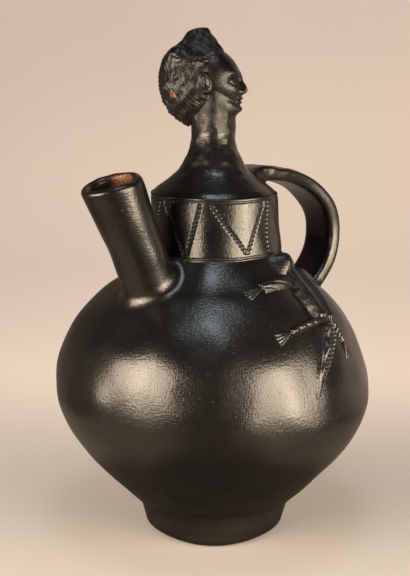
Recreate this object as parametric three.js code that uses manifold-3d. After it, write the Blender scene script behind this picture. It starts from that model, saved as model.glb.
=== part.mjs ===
// A hand-built, smoke-blackened jug: foot, belly, collar, the shoulders, neck and head of a figure,
// a slanting spout, a strap handle and a lizard laid on the belly, each a piece of clay luted to the next.
// Millimetres, +Z up. The origin is the centre of the foot's resting face and -X points at the handle.
import * as THREE from "three";
import { mergeVertices } from "three/addons/utils/BufferGeometryUtils.js";
import Module from "manifold-3d";

// Clay walls and joints
const WALL = 7; // coil-built wall of belly, collar, shoulders and neck
const SLIP_GAP = 0.3; // film of slip between luted pieces

// Foot and floor
const FOOT_HEIGHT = 20.5;
const FOOT_BASE_RADIUS = 48.3;
const FOOT_TOP_RADIUS = 53;
const FOOT_RING_WIDTH = 15;
const FOOT_EDGE = 7; // rounding of the resting edge
const FLOOR_THICKNESS = 8;

// Belly
const BELLY_RADIUS = 110.6;
const LOWER_BELLY_HEIGHT = 83.5;
const UPPER_BELLY_HEIGHT = 95.5;
const BELLY_SPRING_ANGLE = 46; // slope at which the belly leaves the foot, degrees
const BELLY_SPRING_LENGTH = 34; // pull of that slope on the curve
const BELLY_FULLNESS = 28; // pull of the upright tangent at the widest ring
const FAIRING_WIDTH = 18.7; // hollow curve that carries the belly up to the collar
const FAIRING_BEND = 0.55; // share of that width from the collar to the bend of the curve

// Collar
const COLLAR_HEIGHT = 42;
const COLLAR_BASE_RADIUS = 46.6;
const COLLAR_TOP_RADIUS = 44.2;
const BORDER_INSET = 1.8; // incised border line to the nearer joint
const BORDER_WIDTH = 1.6;
const BORDER_DEPTH = 0.8;
const CORD_WIDTH = 3.4; // line pressed with a cord
const CORD_DEPTH = 1;
const CORD_INSET = 4.2; // end of such a line to the nearer joint
const CORD_V_ANGLES = [ // left end, point and right end of each V, degrees from +X
  [5, 26, 40.5], [50, 79, 99], [112, 138, 161], [166, 190, 212],
  [217, 241, 262], [267, 291, 312], [317, 341, 360],
];
const CORD_UPRIGHT_ANGLE = 103.7; // the one upright line, between two Vs

// Figure's shoulders and neck
const SHOULDER_HEIGHT = 25;
const SHOULDER_BEND_IN = 0.82; // share of the shoulders' width, from their edge, at which they bend up
const SHOULDER_BEND_UP = 0.58; // share of their height at that bend
const NECK_ROOT_RADIUS = 19.5;
const NECK_RADIUS = 15;
const NECK_HEIGHT = 22;
const NECK_PULL = 0.88; // share of the bend's slope that runs on into the neck
const NECK_STRAIGHT = 0.57; // share of the neck's height at which it turns upright

// Figure's head
const FACE_ANGLE = 133; // heading of the face, degrees from +X
const HEAD_RISE = 28.5; // top of the neck's curve to the middle of the head
const HEAD_LENGTH = 37;
const HEAD_WIDTH = 34;
const HEAD_HEIGHT = 43;
const JAW_NARROWING = 0.28; // share of the width lost at the chin
const CHIN_REACH = 9;
const SOCKET_DEPTH = 2.4;
const SOCKET_SPREAD = 0.26; // width of an eye hollow on the unit ball
const BROW_RELIEF = 1.2;
const BROW_SPREAD = 0.35;
const EYE_SPACING = 0.4; // sideways share of an eye's direction
const HEAD_HOLLOW_RADIUS = 11;
const NOSE_ROOT_RISE = 4; // root of the nose above the middle of the head
const NOSE_LENGTH = 12.5;
const NOSE_WIDTH = 8;
const NOSE_RELIEF = 5;
const NOSE_TAPER = 0.45; // share of its width that the nose loses towards its root
const EYE_LENGTH = 7;
const EYE_HEIGHT = 4;
const EYE_RELIEF = 2;
const LIP_SPACE = 1.4; // nose to upper lip
const MOUTH_WIDTH = 13;
const LIP_HEIGHT = 2.8;
const LIP_RELIEF = 2.6;
const EAR_HEIGHT = 14;
const EAR_WIDTH = 9;
const EAR_RELIEF = 4;
const EAR_SETBACK = 0.12; // backward share of an ear's direction
const EAR_DROP = 0.08; // downward share of it
const EAR_TAPER = 0.12; // share of its width that the ear loses towards its lobe
const HAIR_LENGTH = 47.5;
const HAIR_WIDTH = 42;
const HAIR_HEIGHT = 53;
const HAIR_SETBACK = 14.5; // middle of the hair behind the middle of the head
const HAIR_DROP = 3; // middle of the hair below the middle of the head
const CREST_RISE = 35.8; // peak of the crest above the middle of the head
const CREST_SETBACK = 11; // peak of the crest behind the middle of the head
const CREST_BASE_LENGTH = 51;
const CREST_BASE_WIDTH = 30;
const CREST_TOP_LENGTH = 13;
const CREST_TOP_WIDTH = 7;
const CREST_TOP_ROUNDING = 0.6; // share of the top's size that its rounded end keeps
const CREST_LEVELS = [0, 0.5, 0.75, 0.92, 1]; // shares of the crest's height at its rings

// Spout
const SPOUT_ANGLE = 8.5; // heading of the spout, degrees from +X
const SPOUT_TILT = 25; // lean of the tube from upright, degrees
const SPOUT_MOUTH_TILT = 15; // lean of the mouth's plane from level, degrees
const SPOUT_TURN_START = 0.35; // shares of the length between which the tube turns to that plane
const SPOUT_TURN_END = 0.95;
const SPOUT_COLLAR_GAP = 1.4; // clear of the tube from the collar's foot
const SPOUT_LENGTH = 76.7; // root to mouth along the middle line
const SPOUT_ROOT_RADIUS = 18;
const SPOUT_MOUTH_RADIUS = 19.4;
const SPOUT_BORE_RADIUS = 12.6;
const SPOUT_COIL_RADIUS = 4.5; // coil pressed into the corner round the root

// Handle
const HANDLE_ANGLE = 180; // heading of the handle, degrees from +X
const HANDLE_WIDTH = 32;
const HANDLE_THICKNESS = 10.5;
const HANDLE_ROOT_FLARE = 0.08; // share by which the strap widens into its roots
const HANDLE_TOP_RISE = 10.5; // upper root above the shoulders' joint
const HANDLE_FOOT_DROP = 33; // lower root below the collar's joint
const HANDLE_TOP_PULL_OUT = 43;
const HANDLE_TOP_PULL_UP = 10;
const HANDLE_FOOT_PULL_OUT = 60;
const HANDLE_FOOT_PULL_UP = 49;

// Lizard, with places as (degrees round the jug, share of the upper belly's height below the collar)
const LIZARD_HEAD_PLACE = [117.5, 0.042];
const LIZARD_HEAD_WIDTH = 21;
const LIZARD_HEAD_LENGTH = 18;
const LIZARD_HEAD_RELIEF = 7.2;
const LIZARD_TRUNK_TRACK = [[118.5, 0.105], [112.5, 0.251], [107.5, 0.419]];
const LIZARD_TRUNK_WIDTH = 25;
const LIZARD_TRUNK_RELIEF = 5.6;
const LIZARD_TAIL_TRACK = [[109.5, 0.387], [105.5, 0.492], [100, 0.607], [95, 0.712], [91, 0.827]];
const LIZARD_TAIL_WIDTH = 16.5;
const LIZARD_TAIL_RELIEF = 5;
const LIZARD_FRONT_LEG_WIDTH = 10;
const LIZARD_REAR_LEG_WIDTH = 6.5;
const LIZARD_LEG_RELIEF = 4.4;
const LIZARD_LEGS = {
  lizard_leg_front_left: {
    width: LIZARD_FRONT_LEG_WIDTH,
    track: [[116, 0.162], [104, 0.152], [92, 0.157], [81, 0.173]],
  },
  lizard_leg_front_right: {
    width: LIZARD_FRONT_LEG_WIDTH,
    track: [[122, 0.173], [133, 0.147], [143, 0.168], [151, 0.209]],
  },
  lizard_leg_rear_left: {
    width: LIZARD_REAR_LEG_WIDTH,
    track: [[107, 0.393], [100, 0.393], [93, 0.4], [86.4, 0.417]],
  },
  lizard_leg_rear_right: {
    width: LIZARD_REAR_LEG_WIDTH,
    track: [[110, 0.382], [113.5, 0.429], [114, 0.482], [114.5, 0.534]],
  },
};
const TOE_LENGTH = 13;
const TOE_OVERLAP = 0.15; // share of a toe that lies under the end of its leg
const TOE_WIDTH = 3;
const TOE_RELIEF = 2.4;
const TOE_SPREAD = 11.5; // degrees between neighbouring toes
const TOES_PER_FOOT = 4;

// Shares of a roll's full width and relief, evenly spaced from its start to its end
const TRUNK_FORM = { widths: [0.55, 0.9, 1, 0.85, 0.5], reliefs: [0.5, 0.9, 1, 0.9, 0.5] };
const TAIL_FORM = { widths: [0.55, 1, 0.78, 0.45, 0.1], reliefs: [0.8, 1, 0.8, 0.55, 0.3] };
const LEG_FORM = { widths: [1.15, 0.8], reliefs: [1.05, 0.65] };
const CORD_FORM = { widths: [1, 1], reliefs: [1, 1] };
const TOE_FORM = { widths: [1, 0.9, 0.65], reliefs: [1, 0.85, 0.4] };

// Facet counts
const VESSEL_SIDES = 48;
const SHOULDER_SIDES = 32;
const NECK_SIDES = 20;
const SPOUT_SIDES = 24;
const BELLY_STEPS = 7; // along each half of the belly
const COLLAR_STEPS = 2;
const SHOULDER_STEPS = 6;
const NECK_STEPS = 5;
const FOOT_EDGE_STEPS = 3;
const SPOUT_STEPS = 5;
const LIP_STEPS = 4;
const COIL_SIDES = 7;
const HANDLE_STEPS = 16;
const HANDLE_SIDES = 12;
const CREST_SIDES = 12;
const HEAD_FACETS = [20, 14]; // round a ball, and from pole to pole
const HAIR_FACETS = [16, 11];
const PELLET_FACETS = [10, 7];
const KNOB_FACETS = [14, 9];
const HOLLOW_STEPS = 6;
const CORD_FACETS = [2, 4]; // along a roll, and round it
const TRUNK_FACETS = [8, 12];
const TAIL_FACETS = [9, 10];
const LEG_FACETS = [6, 8];
const TOE_FACETS = [2, 6];
const innerSteps = (steps) => Math.ceil(steps / 2); // walls are coarser inside
const FACET_TOLERANCE = 0.02; // facets flatter than this to their neighbours are merged
const WELD = 1e-4; // vertices nearer than this are one

const wasm = await Module();
wasm.setup();
const { degToRad: radians, lerp, smoothstep } = THREE.MathUtils;
const point2 = (radius, height) => new THREE.Vector2(radius, height);
const point3 = (x, y, z) => new THREE.Vector3(x, y, z);

// Joint levels from the floor up
const footTop = FOOT_HEIGHT;
const bellyLevel = footTop + LOWER_BELLY_HEIGHT;
const collarBase = bellyLevel + UPPER_BELLY_HEIGHT;
const shoulderBase = collarBase + COLLAR_HEIGHT;
const neckBase = shoulderBase + SHOULDER_HEIGHT;
const neckTop = neckBase + NECK_HEIGHT;
const headMiddle = neckTop + HEAD_RISE;

// Solids

/** Turns a closed geometry into a solid that can be cut and joined, with its faces pointing out. */
function solid(geometry) {
  const bare = new THREE.BufferGeometry();
  bare.setAttribute("position", geometry.getAttribute("position"));
  bare.setIndex(geometry.getIndex());
  const welded = mergeVertices(bare, WELD);
  const places = welded.getAttribute("position").array;
  const corners = welded.getIndex().array;
  const faces = [];
  let volume = 0;
  for (let i = 0; i < corners.length; i += 3) {
    const [a, b, c] = corners.subarray(i, i + 3);
    if (a === b || b === c || c === a) continue;
    const [p, q, r] = [a, b, c].map((k) => point3().fromArray(places, 3 * k));
    volume += p.dot(q.cross(r));
    faces.push([a, b, c]);
  }
  const triVerts = Uint32Array.from(faces.flatMap(([a, b, c]) => (volume > 0 ? [a, b, c] : [a, c, b])));
  const vertProperties = Float32Array.from(places);
  return new wasm.Manifold(new wasm.Mesh({ numProp: 3, vertProperties, triVerts }));
}

/** Makes a named mesh of a finished solid, with its own clay finish. */
function piece(name, body, finish) {
  const { vertProperties, triVerts } = body.simplify(FACET_TOLERANCE).getMesh();
  const geometry = new THREE.BufferGeometry();
  geometry.setAttribute("position", new THREE.BufferAttribute(vertProperties, 3));
  geometry.setIndex(new THREE.BufferAttribute(triVerts, 1));
  geometry.computeVertexNormals();
  const mesh = new THREE.Mesh(geometry, new THREE.MeshStandardMaterial({ metalness: 0, ...finish }));
  mesh.name = name;
  return mesh;
}

/** Gives a geometry of the jug's frame in the frame of a group of the jug. */
function inFrameOf(group, geometry) {
  group.updateMatrix();
  return geometry.clone().applyMatrix4(group.matrix.clone().invert());
}

/** Gives a geometry of a group's frame in the jug's frame. */
function outOfFrame(group, geometry) {
  group.updateMatrix();
  return geometry.clone().applyMatrix4(group.matrix);
}

/** Turns a section of (radius, height) points round the upright axis. */
function revolve(section, sides) {
  return new THREE.LatheGeometry(section, sides).rotateX(Math.PI / 2);
}

/** Skins a row of rings, each of the same number of points, and closes both ends. */
function loft(rings) {
  const count = rings[0].length;
  const places = rings.flat();
  const faces = [];
  for (let ring = 0; ring < rings.length - 1; ring += 1) {
    for (let k = 0; k < count; k += 1) {
      const a = ring * count + k;
      const b = ring * count + ((k + 1) % count);
      faces.push(a, b, b + count, a, b + count, a + count);
    }
  }
  const last = places.length - count;
  for (let k = 1; k < count - 1; k += 1) {
    faces.push(0, k + 1, k, last, last + k, last + k + 1);
  }
  return new THREE.BufferGeometry().setFromPoints(places).setIndex(faces);
}

/** A ball whose unit points are moved by a function of their direction. */
function shapedBall(move, facets) {
  const geometry = new THREE.SphereGeometry(1, ...facets).rotateX(Math.PI / 2);
  const places = geometry.getAttribute("position");
  const place = point3();
  for (let i = 0; i < places.count; i += 1) {
    place.copy(move(point3().fromBufferAttribute(places, i)));
    places.setXYZ(i, place.x, place.y, place.z);
  }
  return geometry;
}

// Outer line of the jug, as (radius, height) points going up

function lowerBellyLine(steps) {
  const slope = radians(BELLY_SPRING_ANGLE);
  return new THREE.CubicBezierCurve(
    point2(FOOT_TOP_RADIUS, footTop),
    point2(
      FOOT_TOP_RADIUS + BELLY_SPRING_LENGTH * Math.cos(slope),
      footTop + BELLY_SPRING_LENGTH * Math.sin(slope),
    ),
    point2(BELLY_RADIUS, bellyLevel - BELLY_FULLNESS),
    point2(BELLY_RADIUS, bellyLevel),
  ).getPoints(steps);
}

/** Quarter ellipse from the widest ring, then a hollow curve up to the collar. */
function upperBellyLine(steps) {
  const fairingRadius = COLLAR_BASE_RADIUS + FAIRING_WIDTH;
  const turn = Math.acos(fairingRadius / BELLY_RADIUS);
  const dome = new THREE.EllipseCurve(0, bellyLevel, BELLY_RADIUS, UPPER_BELLY_HEIGHT, 0, turn);
  const start = dome.getPoint(1);
  const rise = UPPER_BELLY_HEIGHT * Math.cos(turn) / (BELLY_RADIUS * Math.sin(turn));
  const bend = FAIRING_BEND * FAIRING_WIDTH;
  const fairing = new THREE.QuadraticBezierCurve(
    start,
    point2(COLLAR_BASE_RADIUS + bend, start.y + (FAIRING_WIDTH - bend) * rise),
    point2(COLLAR_BASE_RADIUS, collarBase),
  );
  return [...dome.getPoints(steps), ...fairing.getPoints(innerSteps(steps)).slice(1)];
}

function collarLine(steps) {
  return new THREE.QuadraticBezierCurve(
    point2(COLLAR_BASE_RADIUS, collarBase),
    point2(COLLAR_TOP_RADIUS, collarBase + COLLAR_HEIGHT / 2),
    point2(COLLAR_TOP_RADIUS, shoulderBase),
  ).getPoints(steps);
}

const shoulderEdge = point2(COLLAR_TOP_RADIUS, shoulderBase);
const neckRoot = point2(NECK_ROOT_RADIUS, neckBase);
const shoulderBend = point2(
  lerp(shoulderEdge.x, neckRoot.x, SHOULDER_BEND_IN),
  lerp(shoulderEdge.y, neckRoot.y, SHOULDER_BEND_UP),
);

function shoulderLine(steps) {
  return new THREE.CubicBezierCurve(shoulderEdge, shoulderBend, shoulderBend, neckRoot).getPoints(steps);
}

/** Inside of the shoulders, which runs in level from the collar before it turns up into the neck. */
function shoulderInnerLine(steps) {
  return new THREE.CubicBezierCurve(
    point2(COLLAR_TOP_RADIUS - WALL, shoulderBase),
    point2(NECK_ROOT_RADIUS, shoulderBase),
    point2(NECK_ROOT_RADIUS - WALL, shoulderBase),
    point2(NECK_ROOT_RADIUS - WALL, neckBase),
  ).getPoints(steps);
}

/** Neck up to the head's middle, where the head's underside cuts it off. */
function neckLine(steps) {
  const narrowing = new THREE.CubicBezierCurve(
    neckRoot,
    shoulderBend.clone().lerp(neckRoot, 1 + NECK_PULL),
    point2(NECK_RADIUS, lerp(neckBase, neckTop, NECK_STRAIGHT)),
    point2(NECK_RADIUS, neckTop),
  ).getPoints(steps);
  return [...narrowing, point2(NECK_RADIUS, headMiddle)];
}

/** Moves a rising line sideways by a wall or a gap; its ends keep their height. */
function offsetLine(line, distance) {
  return line.map((place, i) => {
    const before = line[Math.max(i - 1, 0)];
    const after = line[Math.min(i + 1, line.length - 1)];
    const along = after.clone().sub(before).normalize();
    if (before === place || after === place) {
      return point2(place.x + distance / along.y, place.y);
    }
    return point2(place.x + distance * along.y, place.y - distance * along.x);
  });
}

/** The coarser line one wall inside an outer line. */
const insideOf = (lineOf, steps) => offsetLine(lineOf(innerSteps(steps)), -WALL);

/** A turned wall between an outer and an inner line. */
function turnedWall(outer, inner, sides) {
  return solid(revolve([...outer, ...inner.toReversed(), outer[0].clone()], sides));
}

const vesselLine = [
  ...lowerBellyLine(BELLY_STEPS),
  ...upperBellyLine(BELLY_STEPS).slice(1),
  ...collarLine(COLLAR_STEPS).slice(1),
  ...shoulderLine(SHOULDER_STEPS).slice(1),
  ...neckLine(NECK_STEPS).slice(1),
];

/** The jug's outside as one filled body, grown by a gap, that attached pieces are cut with. */
function vesselFilled(gap) {
  const line = offsetLine(vesselLine, gap);
  const section = [point2(0, line[0].y), ...line, point2(0, line.at(-1).y)];
  return revolve(section, VESSEL_SIDES);
}

/** Radius and outward slope of the jug's outside at a height. */
function outsideAt(height) {
  const above = vesselLine.findIndex((place) => place.y > height);
  const [low, high] = [vesselLine[above - 1], vesselLine[above]];
  const share = (height - low.y) / (high.y - low.y);
  const along = high.clone().sub(low).normalize();
  return { radius: low.x + share * (high.x - low.x), normal: point2(along.y, -along.x) };
}

/** Point and normal on the jug's outside at an angle and a height. */
function onOutside(angle, height) {
  const { radius, normal } = outsideAt(height);
  const outward = point3(Math.cos(angle), Math.sin(angle), 0);
  return {
    place: outward.clone().multiplyScalar(radius).setZ(height),
    normal: outward.multiplyScalar(normal.x).setZ(normal.y),
  };
}

// Rolls of clay

/** Value at a share of the way along a row of evenly spaced values. */
function valueAt(values, share) {
  const way = share * (values.length - 1);
  const before = Math.min(Math.floor(way), values.length - 2);
  return lerp(values[before], values[before + 1], way - before);
}

/** A roll of clay along a track, oval in section, with its full width and relief shaped by a form. */
function roll(track, { width, relief, form, facets: [steps, sides] }, gap = 0) {
  const rings = Array.from({ length: steps + 1 }, (unused, step) => {
    const share = step / steps;
    const { place, normal, along: heading } = track(share);
    const reach = width / 2 * valueAt(form.widths, share) + gap;
    const height = relief * valueAt(form.reliefs, share) + gap;
    const across = normal.clone().cross(heading).normalize();
    const overrun = gap * (Number(step === steps) - Number(step === 0));
    return Array.from({ length: sides }, (unusedSide, side) => {
      const turn = 2 * Math.PI * side / sides;
      return place.clone()
        .addScaledVector(heading, overrun)
        .addScaledVector(across, Math.cos(turn) * reach)
        .addScaledVector(normal, Math.sin(turn) * height);
    });
  });
  return solid(loft(rings));
}

// Finishes

const blackClay = { color: 0x1d1a18, roughness: 0.34 };
const rubbedClay = { color: 0x262220, roughness: 0.42 };
const footClay = { color: 0x1a1716, roughness: 0.5 };

// Vessel

/** Ring with a rounded resting edge. */
function footRing() {
  const edge = new THREE.EllipseCurve(
    FOOT_BASE_RADIUS - FOOT_EDGE, FOOT_EDGE, FOOT_EDGE, FOOT_EDGE, -Math.PI / 2, 0,
  ).getPoints(FOOT_EDGE_STEPS);
  const section = [
    ...edge,
    point2(FOOT_TOP_RADIUS, footTop),
    point2(FOOT_TOP_RADIUS - FOOT_RING_WIDTH, footTop),
    point2(FOOT_BASE_RADIUS - FOOT_RING_WIDTH, 0),
  ];
  return solid(revolve([...section, edge[0].clone()], VESSEL_SIDES));
}

/** Disc inside the belly's bottom edge, resting on the foot. */
function floorSlab() {
  const [rim, above] = insideOf(lowerBellyLine, BELLY_STEPS);
  const spread = (above.x - rim.x) / (above.y - rim.y);
  const edge = rim.x - SLIP_GAP * Math.hypot(1, spread);
  const section = [
    point2(0, footTop),
    point2(edge, footTop),
    point2(edge + spread * FLOOR_THICKNESS, footTop + FLOOR_THICKNESS),
    point2(0, footTop + FLOOR_THICKNESS),
  ];
  return solid(revolve(section, VESSEL_SIDES));
}

/** Line of a pressed cord, straight down the collar from one angle to another. */
function pressedCord(from, to) {
  const track = (share) => onOutside(
    radians(lerp(from, to, share)),
    lerp(shoulderBase - CORD_INSET, collarBase + CORD_INSET, share),
  );
  const heading = track(1).place.sub(track(0).place).normalize();
  const size = { width: CORD_WIDTH, relief: CORD_DEPTH, form: CORD_FORM, facets: CORD_FACETS };
  return roll((share) => ({ ...track(share), along: heading }), size);
}

/** Collar with a fine incised line near each edge and a row of Vs pressed between them. */
function collar() {
  const groove = (middle) => [
    point2(outsideAt(middle - BORDER_WIDTH / 2).radius, middle - BORDER_WIDTH / 2),
    point2(outsideAt(middle).radius - BORDER_DEPTH, middle),
    point2(outsideAt(middle + BORDER_WIDTH / 2).radius, middle + BORDER_WIDTH / 2),
  ];
  const line = collarLine(COLLAR_STEPS);
  const lowBorder = collarBase + BORDER_INSET;
  const highBorder = shoulderBase - BORDER_INSET;
  const outer = [line[0], ...groove(lowBorder), ...line.slice(1, -1), ...groove(highBorder), line.at(-1)];
  const band = turnedWall(outer, insideOf(collarLine, COLLAR_STEPS), VESSEL_SIDES);
  const limbs = CORD_V_ANGLES.flatMap(([left, point, right]) => [[left, point], [right, point]]);
  const lines = [...limbs, [CORD_UPRIGHT_ANGLE, CORD_UPRIGHT_ANGLE]];
  return band.subtract(wasm.Manifold.union(lines.map(([from, to]) => pressedCord(from, to))));
}

/** Half of the belly, turned along one of its lines. */
function bellyHalf(lineOf) {
  return turnedWall(lineOf(BELLY_STEPS), insideOf(lineOf, BELLY_STEPS), VESSEL_SIDES);
}

function shoulders() {
  const inner = shoulderInnerLine(innerSteps(SHOULDER_STEPS));
  return turnedWall(shoulderLine(SHOULDER_STEPS), inner, SHOULDER_SIDES);
}

function vesselPieces() {
  return [
    piece("foot_ring", footRing(), footClay),
    piece("floor_slab", floorSlab(), footClay),
    piece("lower_belly", bellyHalf(lowerBellyLine), blackClay),
    piece("upper_belly", bellyHalf(upperBellyLine).subtract(spoutBoreInWall()), blackClay),
    piece("collar", collar(), blackClay),
    piece("shoulders", shoulders(), blackClay),
    piece("figure_neck", neck(), blackClay),
  ];
}

// Spout

/** Height at which the tube's middle line, running clear of the collar's foot, meets the belly. */
function spoutRootHeight() {
  const tilt = radians(SPOUT_TILT);
  const wayAtCollar = COLLAR_BASE_RADIUS + (SPOUT_ROOT_RADIUS + SPOUT_COLLAR_GAP) / Math.cos(tilt);
  const beyond = (place) => place.x - wayAtCollar + (collarBase - place.y) * Math.tan(tilt);
  const line = upperBellyLine(BELLY_STEPS);
  const above = line.findIndex((place) => beyond(place) < 0);
  const [low, high] = [line[above - 1], line[above]];
  return lerp(low.y, high.y, beyond(low) / (beyond(low) - beyond(high)));
}

const spoutLevel = spoutRootHeight();
const spoutFoot = onOutside(radians(SPOUT_ANGLE), spoutLevel);
const spoutGroup = new THREE.Group();
spoutGroup.position.copy(spoutFoot.place);
spoutGroup.rotation.set(0, radians(SPOUT_TILT), radians(SPOUT_ANGLE), "ZYX");

/** Length that the uncut spout and its bore run on below the root, through the wall into the belly. */
const spoutBuried = 2 * SPOUT_ROOT_RADIUS;
const lipRadius = (SPOUT_MOUTH_RADIUS - SPOUT_BORE_RADIUS) / 2;

function spoutOuterLine(gap) {
  return [
    point2(SPOUT_ROOT_RADIUS + gap, -spoutBuried),
    ...new THREE.QuadraticBezierCurve(
      point2(SPOUT_ROOT_RADIUS + gap, 0),
      point2(SPOUT_ROOT_RADIUS + gap, SPOUT_LENGTH / 2),
      point2(SPOUT_MOUTH_RADIUS + gap, SPOUT_LENGTH - lipRadius),
    ).getPoints(SPOUT_STEPS),
  ];
}

/** Shifts the upper part of the tube along its middle line, so that the mouth turns more level. */
function turnMouth(geometry) {
  const slope = Math.tan(radians(SPOUT_TILT - SPOUT_MOUTH_TILT));
  const places = geometry.getAttribute("position");
  for (let i = 0; i < places.count; i += 1) {
    const share = places.getZ(i) / SPOUT_LENGTH;
    const shift = slope * places.getX(i) * smoothstep(share, SPOUT_TURN_START, SPOUT_TURN_END);
    places.setZ(i, places.getZ(i) + shift);
  }
  return geometry;
}

/** Tube with a rounded lip, its root cut to sit on the belly. */
function spout() {
  const lip = new THREE.EllipseCurve(
    SPOUT_BORE_RADIUS + lipRadius, SPOUT_LENGTH - lipRadius, lipRadius, lipRadius, 0, Math.PI,
  ).getPoints(LIP_STEPS).slice(1);
  const outer = spoutOuterLine(0);
  const section = [...outer, ...lip, point2(SPOUT_BORE_RADIUS, -spoutBuried), outer[0].clone()];
  const belly = inFrameOf(spoutGroup, vesselFilled(SLIP_GAP));
  return solid(turnMouth(revolve(section, SPOUT_SIDES))).subtract(solid(belly));
}

/** The bore's length inside the wall, in the jug's frame. */
function spoutBoreInWall() {
  const section = [
    point2(0, -spoutBuried),
    point2(SPOUT_BORE_RADIUS, -spoutBuried),
    point2(SPOUT_BORE_RADIUS, SPOUT_LENGTH / 2),
    point2(0, SPOUT_LENGTH / 2),
  ];
  return solid(outOfFrame(spoutGroup, revolve(section, SPOUT_SIDES)));
}

/** Coil round the root, lying on the belly and against the spout. */
function spoutCoil() {
  const { normal } = outsideAt(spoutLevel);
  const lean = Math.atan2(normal.x, normal.y) - radians(SPOUT_TILT);
  const ringRadius = SPOUT_ROOT_RADIUS / Math.cos(lean) + SPOUT_COIL_RADIUS / 3;
  const ring = new THREE.TorusGeometry(ringRadius, SPOUT_COIL_RADIUS, COIL_SIDES, SPOUT_SIDES).rotateY(lean);
  const tubeLine = spoutOuterLine(SLIP_GAP);
  const tube = [point2(0, tubeLine[0].y), ...tubeLine, point2(0, tubeLine.at(-1).y)];
  return solid(ring)
    .subtract(solid(inFrameOf(spoutGroup, vesselFilled(SLIP_GAP))))
    .subtract(solid(revolve(tube, SPOUT_SIDES)));
}

// Handle

const handleGroup = new THREE.Group();
handleGroup.rotation.z = radians(HANDLE_ANGLE);

/** Strap along a curve from the shoulders out, round and down to the belly. */
function handle() {
  const topHeight = shoulderBase + HANDLE_TOP_RISE;
  const footHeight = collarBase - HANDLE_FOOT_DROP;
  const top = point3(outsideAt(topHeight).radius - WALL / 2, 0, topHeight);
  const foot = point3(outsideAt(footHeight).radius - WALL / 2, 0, footHeight);
  const middleLine = new THREE.CubicBezierCurve3(
    top,
    top.clone().add(point3(HANDLE_TOP_PULL_OUT, 0, HANDLE_TOP_PULL_UP)),
    foot.clone().add(point3(HANDLE_FOOT_PULL_OUT, 0, HANDLE_FOOT_PULL_UP)),
    foot,
  );
  const across = point3(0, 1, 0);
  const rings = Array.from({ length: HANDLE_STEPS + 1 }, (unused, step) => {
    const share = step / HANDLE_STEPS;
    const middle = middleLine.getPoint(share);
    const outward = across.clone().cross(middleLine.getTangent(share));
    const flare = 1 + HANDLE_ROOT_FLARE * (2 * share - 1) ** 6;
    return Array.from({ length: HANDLE_SIDES }, (unusedSide, side) => {
      const turn = 2 * Math.PI * side / HANDLE_SIDES;
      const round = (value) => Math.sign(value) * Math.sqrt(Math.abs(value));
      return middle.clone()
        .addScaledVector(across, round(Math.cos(turn)) * flare * HANDLE_WIDTH / 2)
        .addScaledVector(outward, round(Math.sin(turn)) * flare * HANDLE_THICKNESS / 2);
    });
  });
  return solid(loft(rings)).subtract(solid(inFrameOf(handleGroup, vesselFilled(SLIP_GAP))));
}

// Head, in its own frame: +X is the way that it faces

const headGroup = new THREE.Group();
headGroup.position.z = headMiddle;
headGroup.rotation.z = radians(FACE_ANGLE);

const nearness = (direction, middle, spread) => Math.exp(-direction.distanceToSquared(middle) / spread ** 2);
const towards = (x, y, z) => point3(x, y, z).normalize();
const SIDES = { left: 1, right: -1 };
const eyeDirection = (side) => towards(1, EYE_SPACING * side, 0);

/** Egg-shaped skull that narrows to the jaw, with a chin, a brow and two eye hollows. */
function headPoint(direction, gap) {
  const low = Math.max(0, -direction.z);
  const front = Math.max(0, direction.x);
  const place = point3(
    direction.x * (HEAD_LENGTH / 2 + gap),
    direction.y * (HEAD_WIDTH / 2 + gap) * (1 - JAW_NARROWING * low * low),
    direction.z * (HEAD_HEIGHT / 2 + gap),
  );
  place.x += CHIN_REACH * low * front;
  place.x += BROW_RELIEF * nearness(direction, towards(1, 0, BROW_SPREAD), BROW_SPREAD);
  for (const side of Object.values(SIDES)) {
    place.x -= SOCKET_DEPTH * nearness(direction, eyeDirection(side), SOCKET_SPREAD);
  }
  return place;
}

const headForm = (gap) => shapedBall((direction) => headPoint(direction, gap), HEAD_FACETS);

/** Place on the middle line of the face at a height over the middle of the head. */
function onMiddleLine(height) {
  const share = 2 * height / HEAD_HEIGHT;
  return headPoint(point3(Math.sqrt(1 - share * share), 0, share), 0);
}

/** Hollow of the head with its way down into the neck's bore. */
function headHollow() {
  const bore = NECK_RADIUS - WALL;
  const turn = Math.asin(bore / HEAD_HOLLOW_RADIUS);
  const bowl = new THREE.EllipseCurve(
    0, 0, HEAD_HOLLOW_RADIUS, HEAD_HOLLOW_RADIUS, turn - Math.PI / 2, Math.PI / 2,
  ).getPoints(HOLLOW_STEPS);
  return revolve([point2(0, -HEAD_HEIGHT), point2(bore, -HEAD_HEIGHT), ...bowl], NECK_SIDES / 2);
}

/** A rounded pellet of a size along X, Y and Z, about a place; taper draws its upper end in. */
function pellet(place, [length, width, height], taper = 0, facets = PELLET_FACETS) {
  return shapedBall((direction) => point3(
    direction.x * (1 - taper * direction.z) * length / 2,
    direction.y * (1 - taper * direction.z) * width / 2,
    direction.z * height / 2,
  ).add(place), facets);
}

function noseForm(gap) {
  const size = [2 * NOSE_RELIEF, NOSE_WIDTH, NOSE_LENGTH].map((length) => length + 2 * gap);
  return pellet(onMiddleLine(NOSE_ROOT_RISE - NOSE_LENGTH / 2), size, NOSE_TAPER);
}

/** One lip, above or below the line of the mouth. */
function lipForm(way) {
  const mouthHeight = NOSE_ROOT_RISE - NOSE_LENGTH - LIP_SPACE - LIP_HEIGHT - SLIP_GAP;
  const place = onMiddleLine(mouthHeight);
  place.z += way * (LIP_HEIGHT + SLIP_GAP) / 2;
  return pellet(place, [2 * LIP_RELIEF, MOUTH_WIDTH, LIP_HEIGHT]);
}

const eyeForm = (side) => pellet(headPoint(eyeDirection(side), 0), [2 * EYE_RELIEF, EYE_LENGTH, EYE_HEIGHT]);

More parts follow.
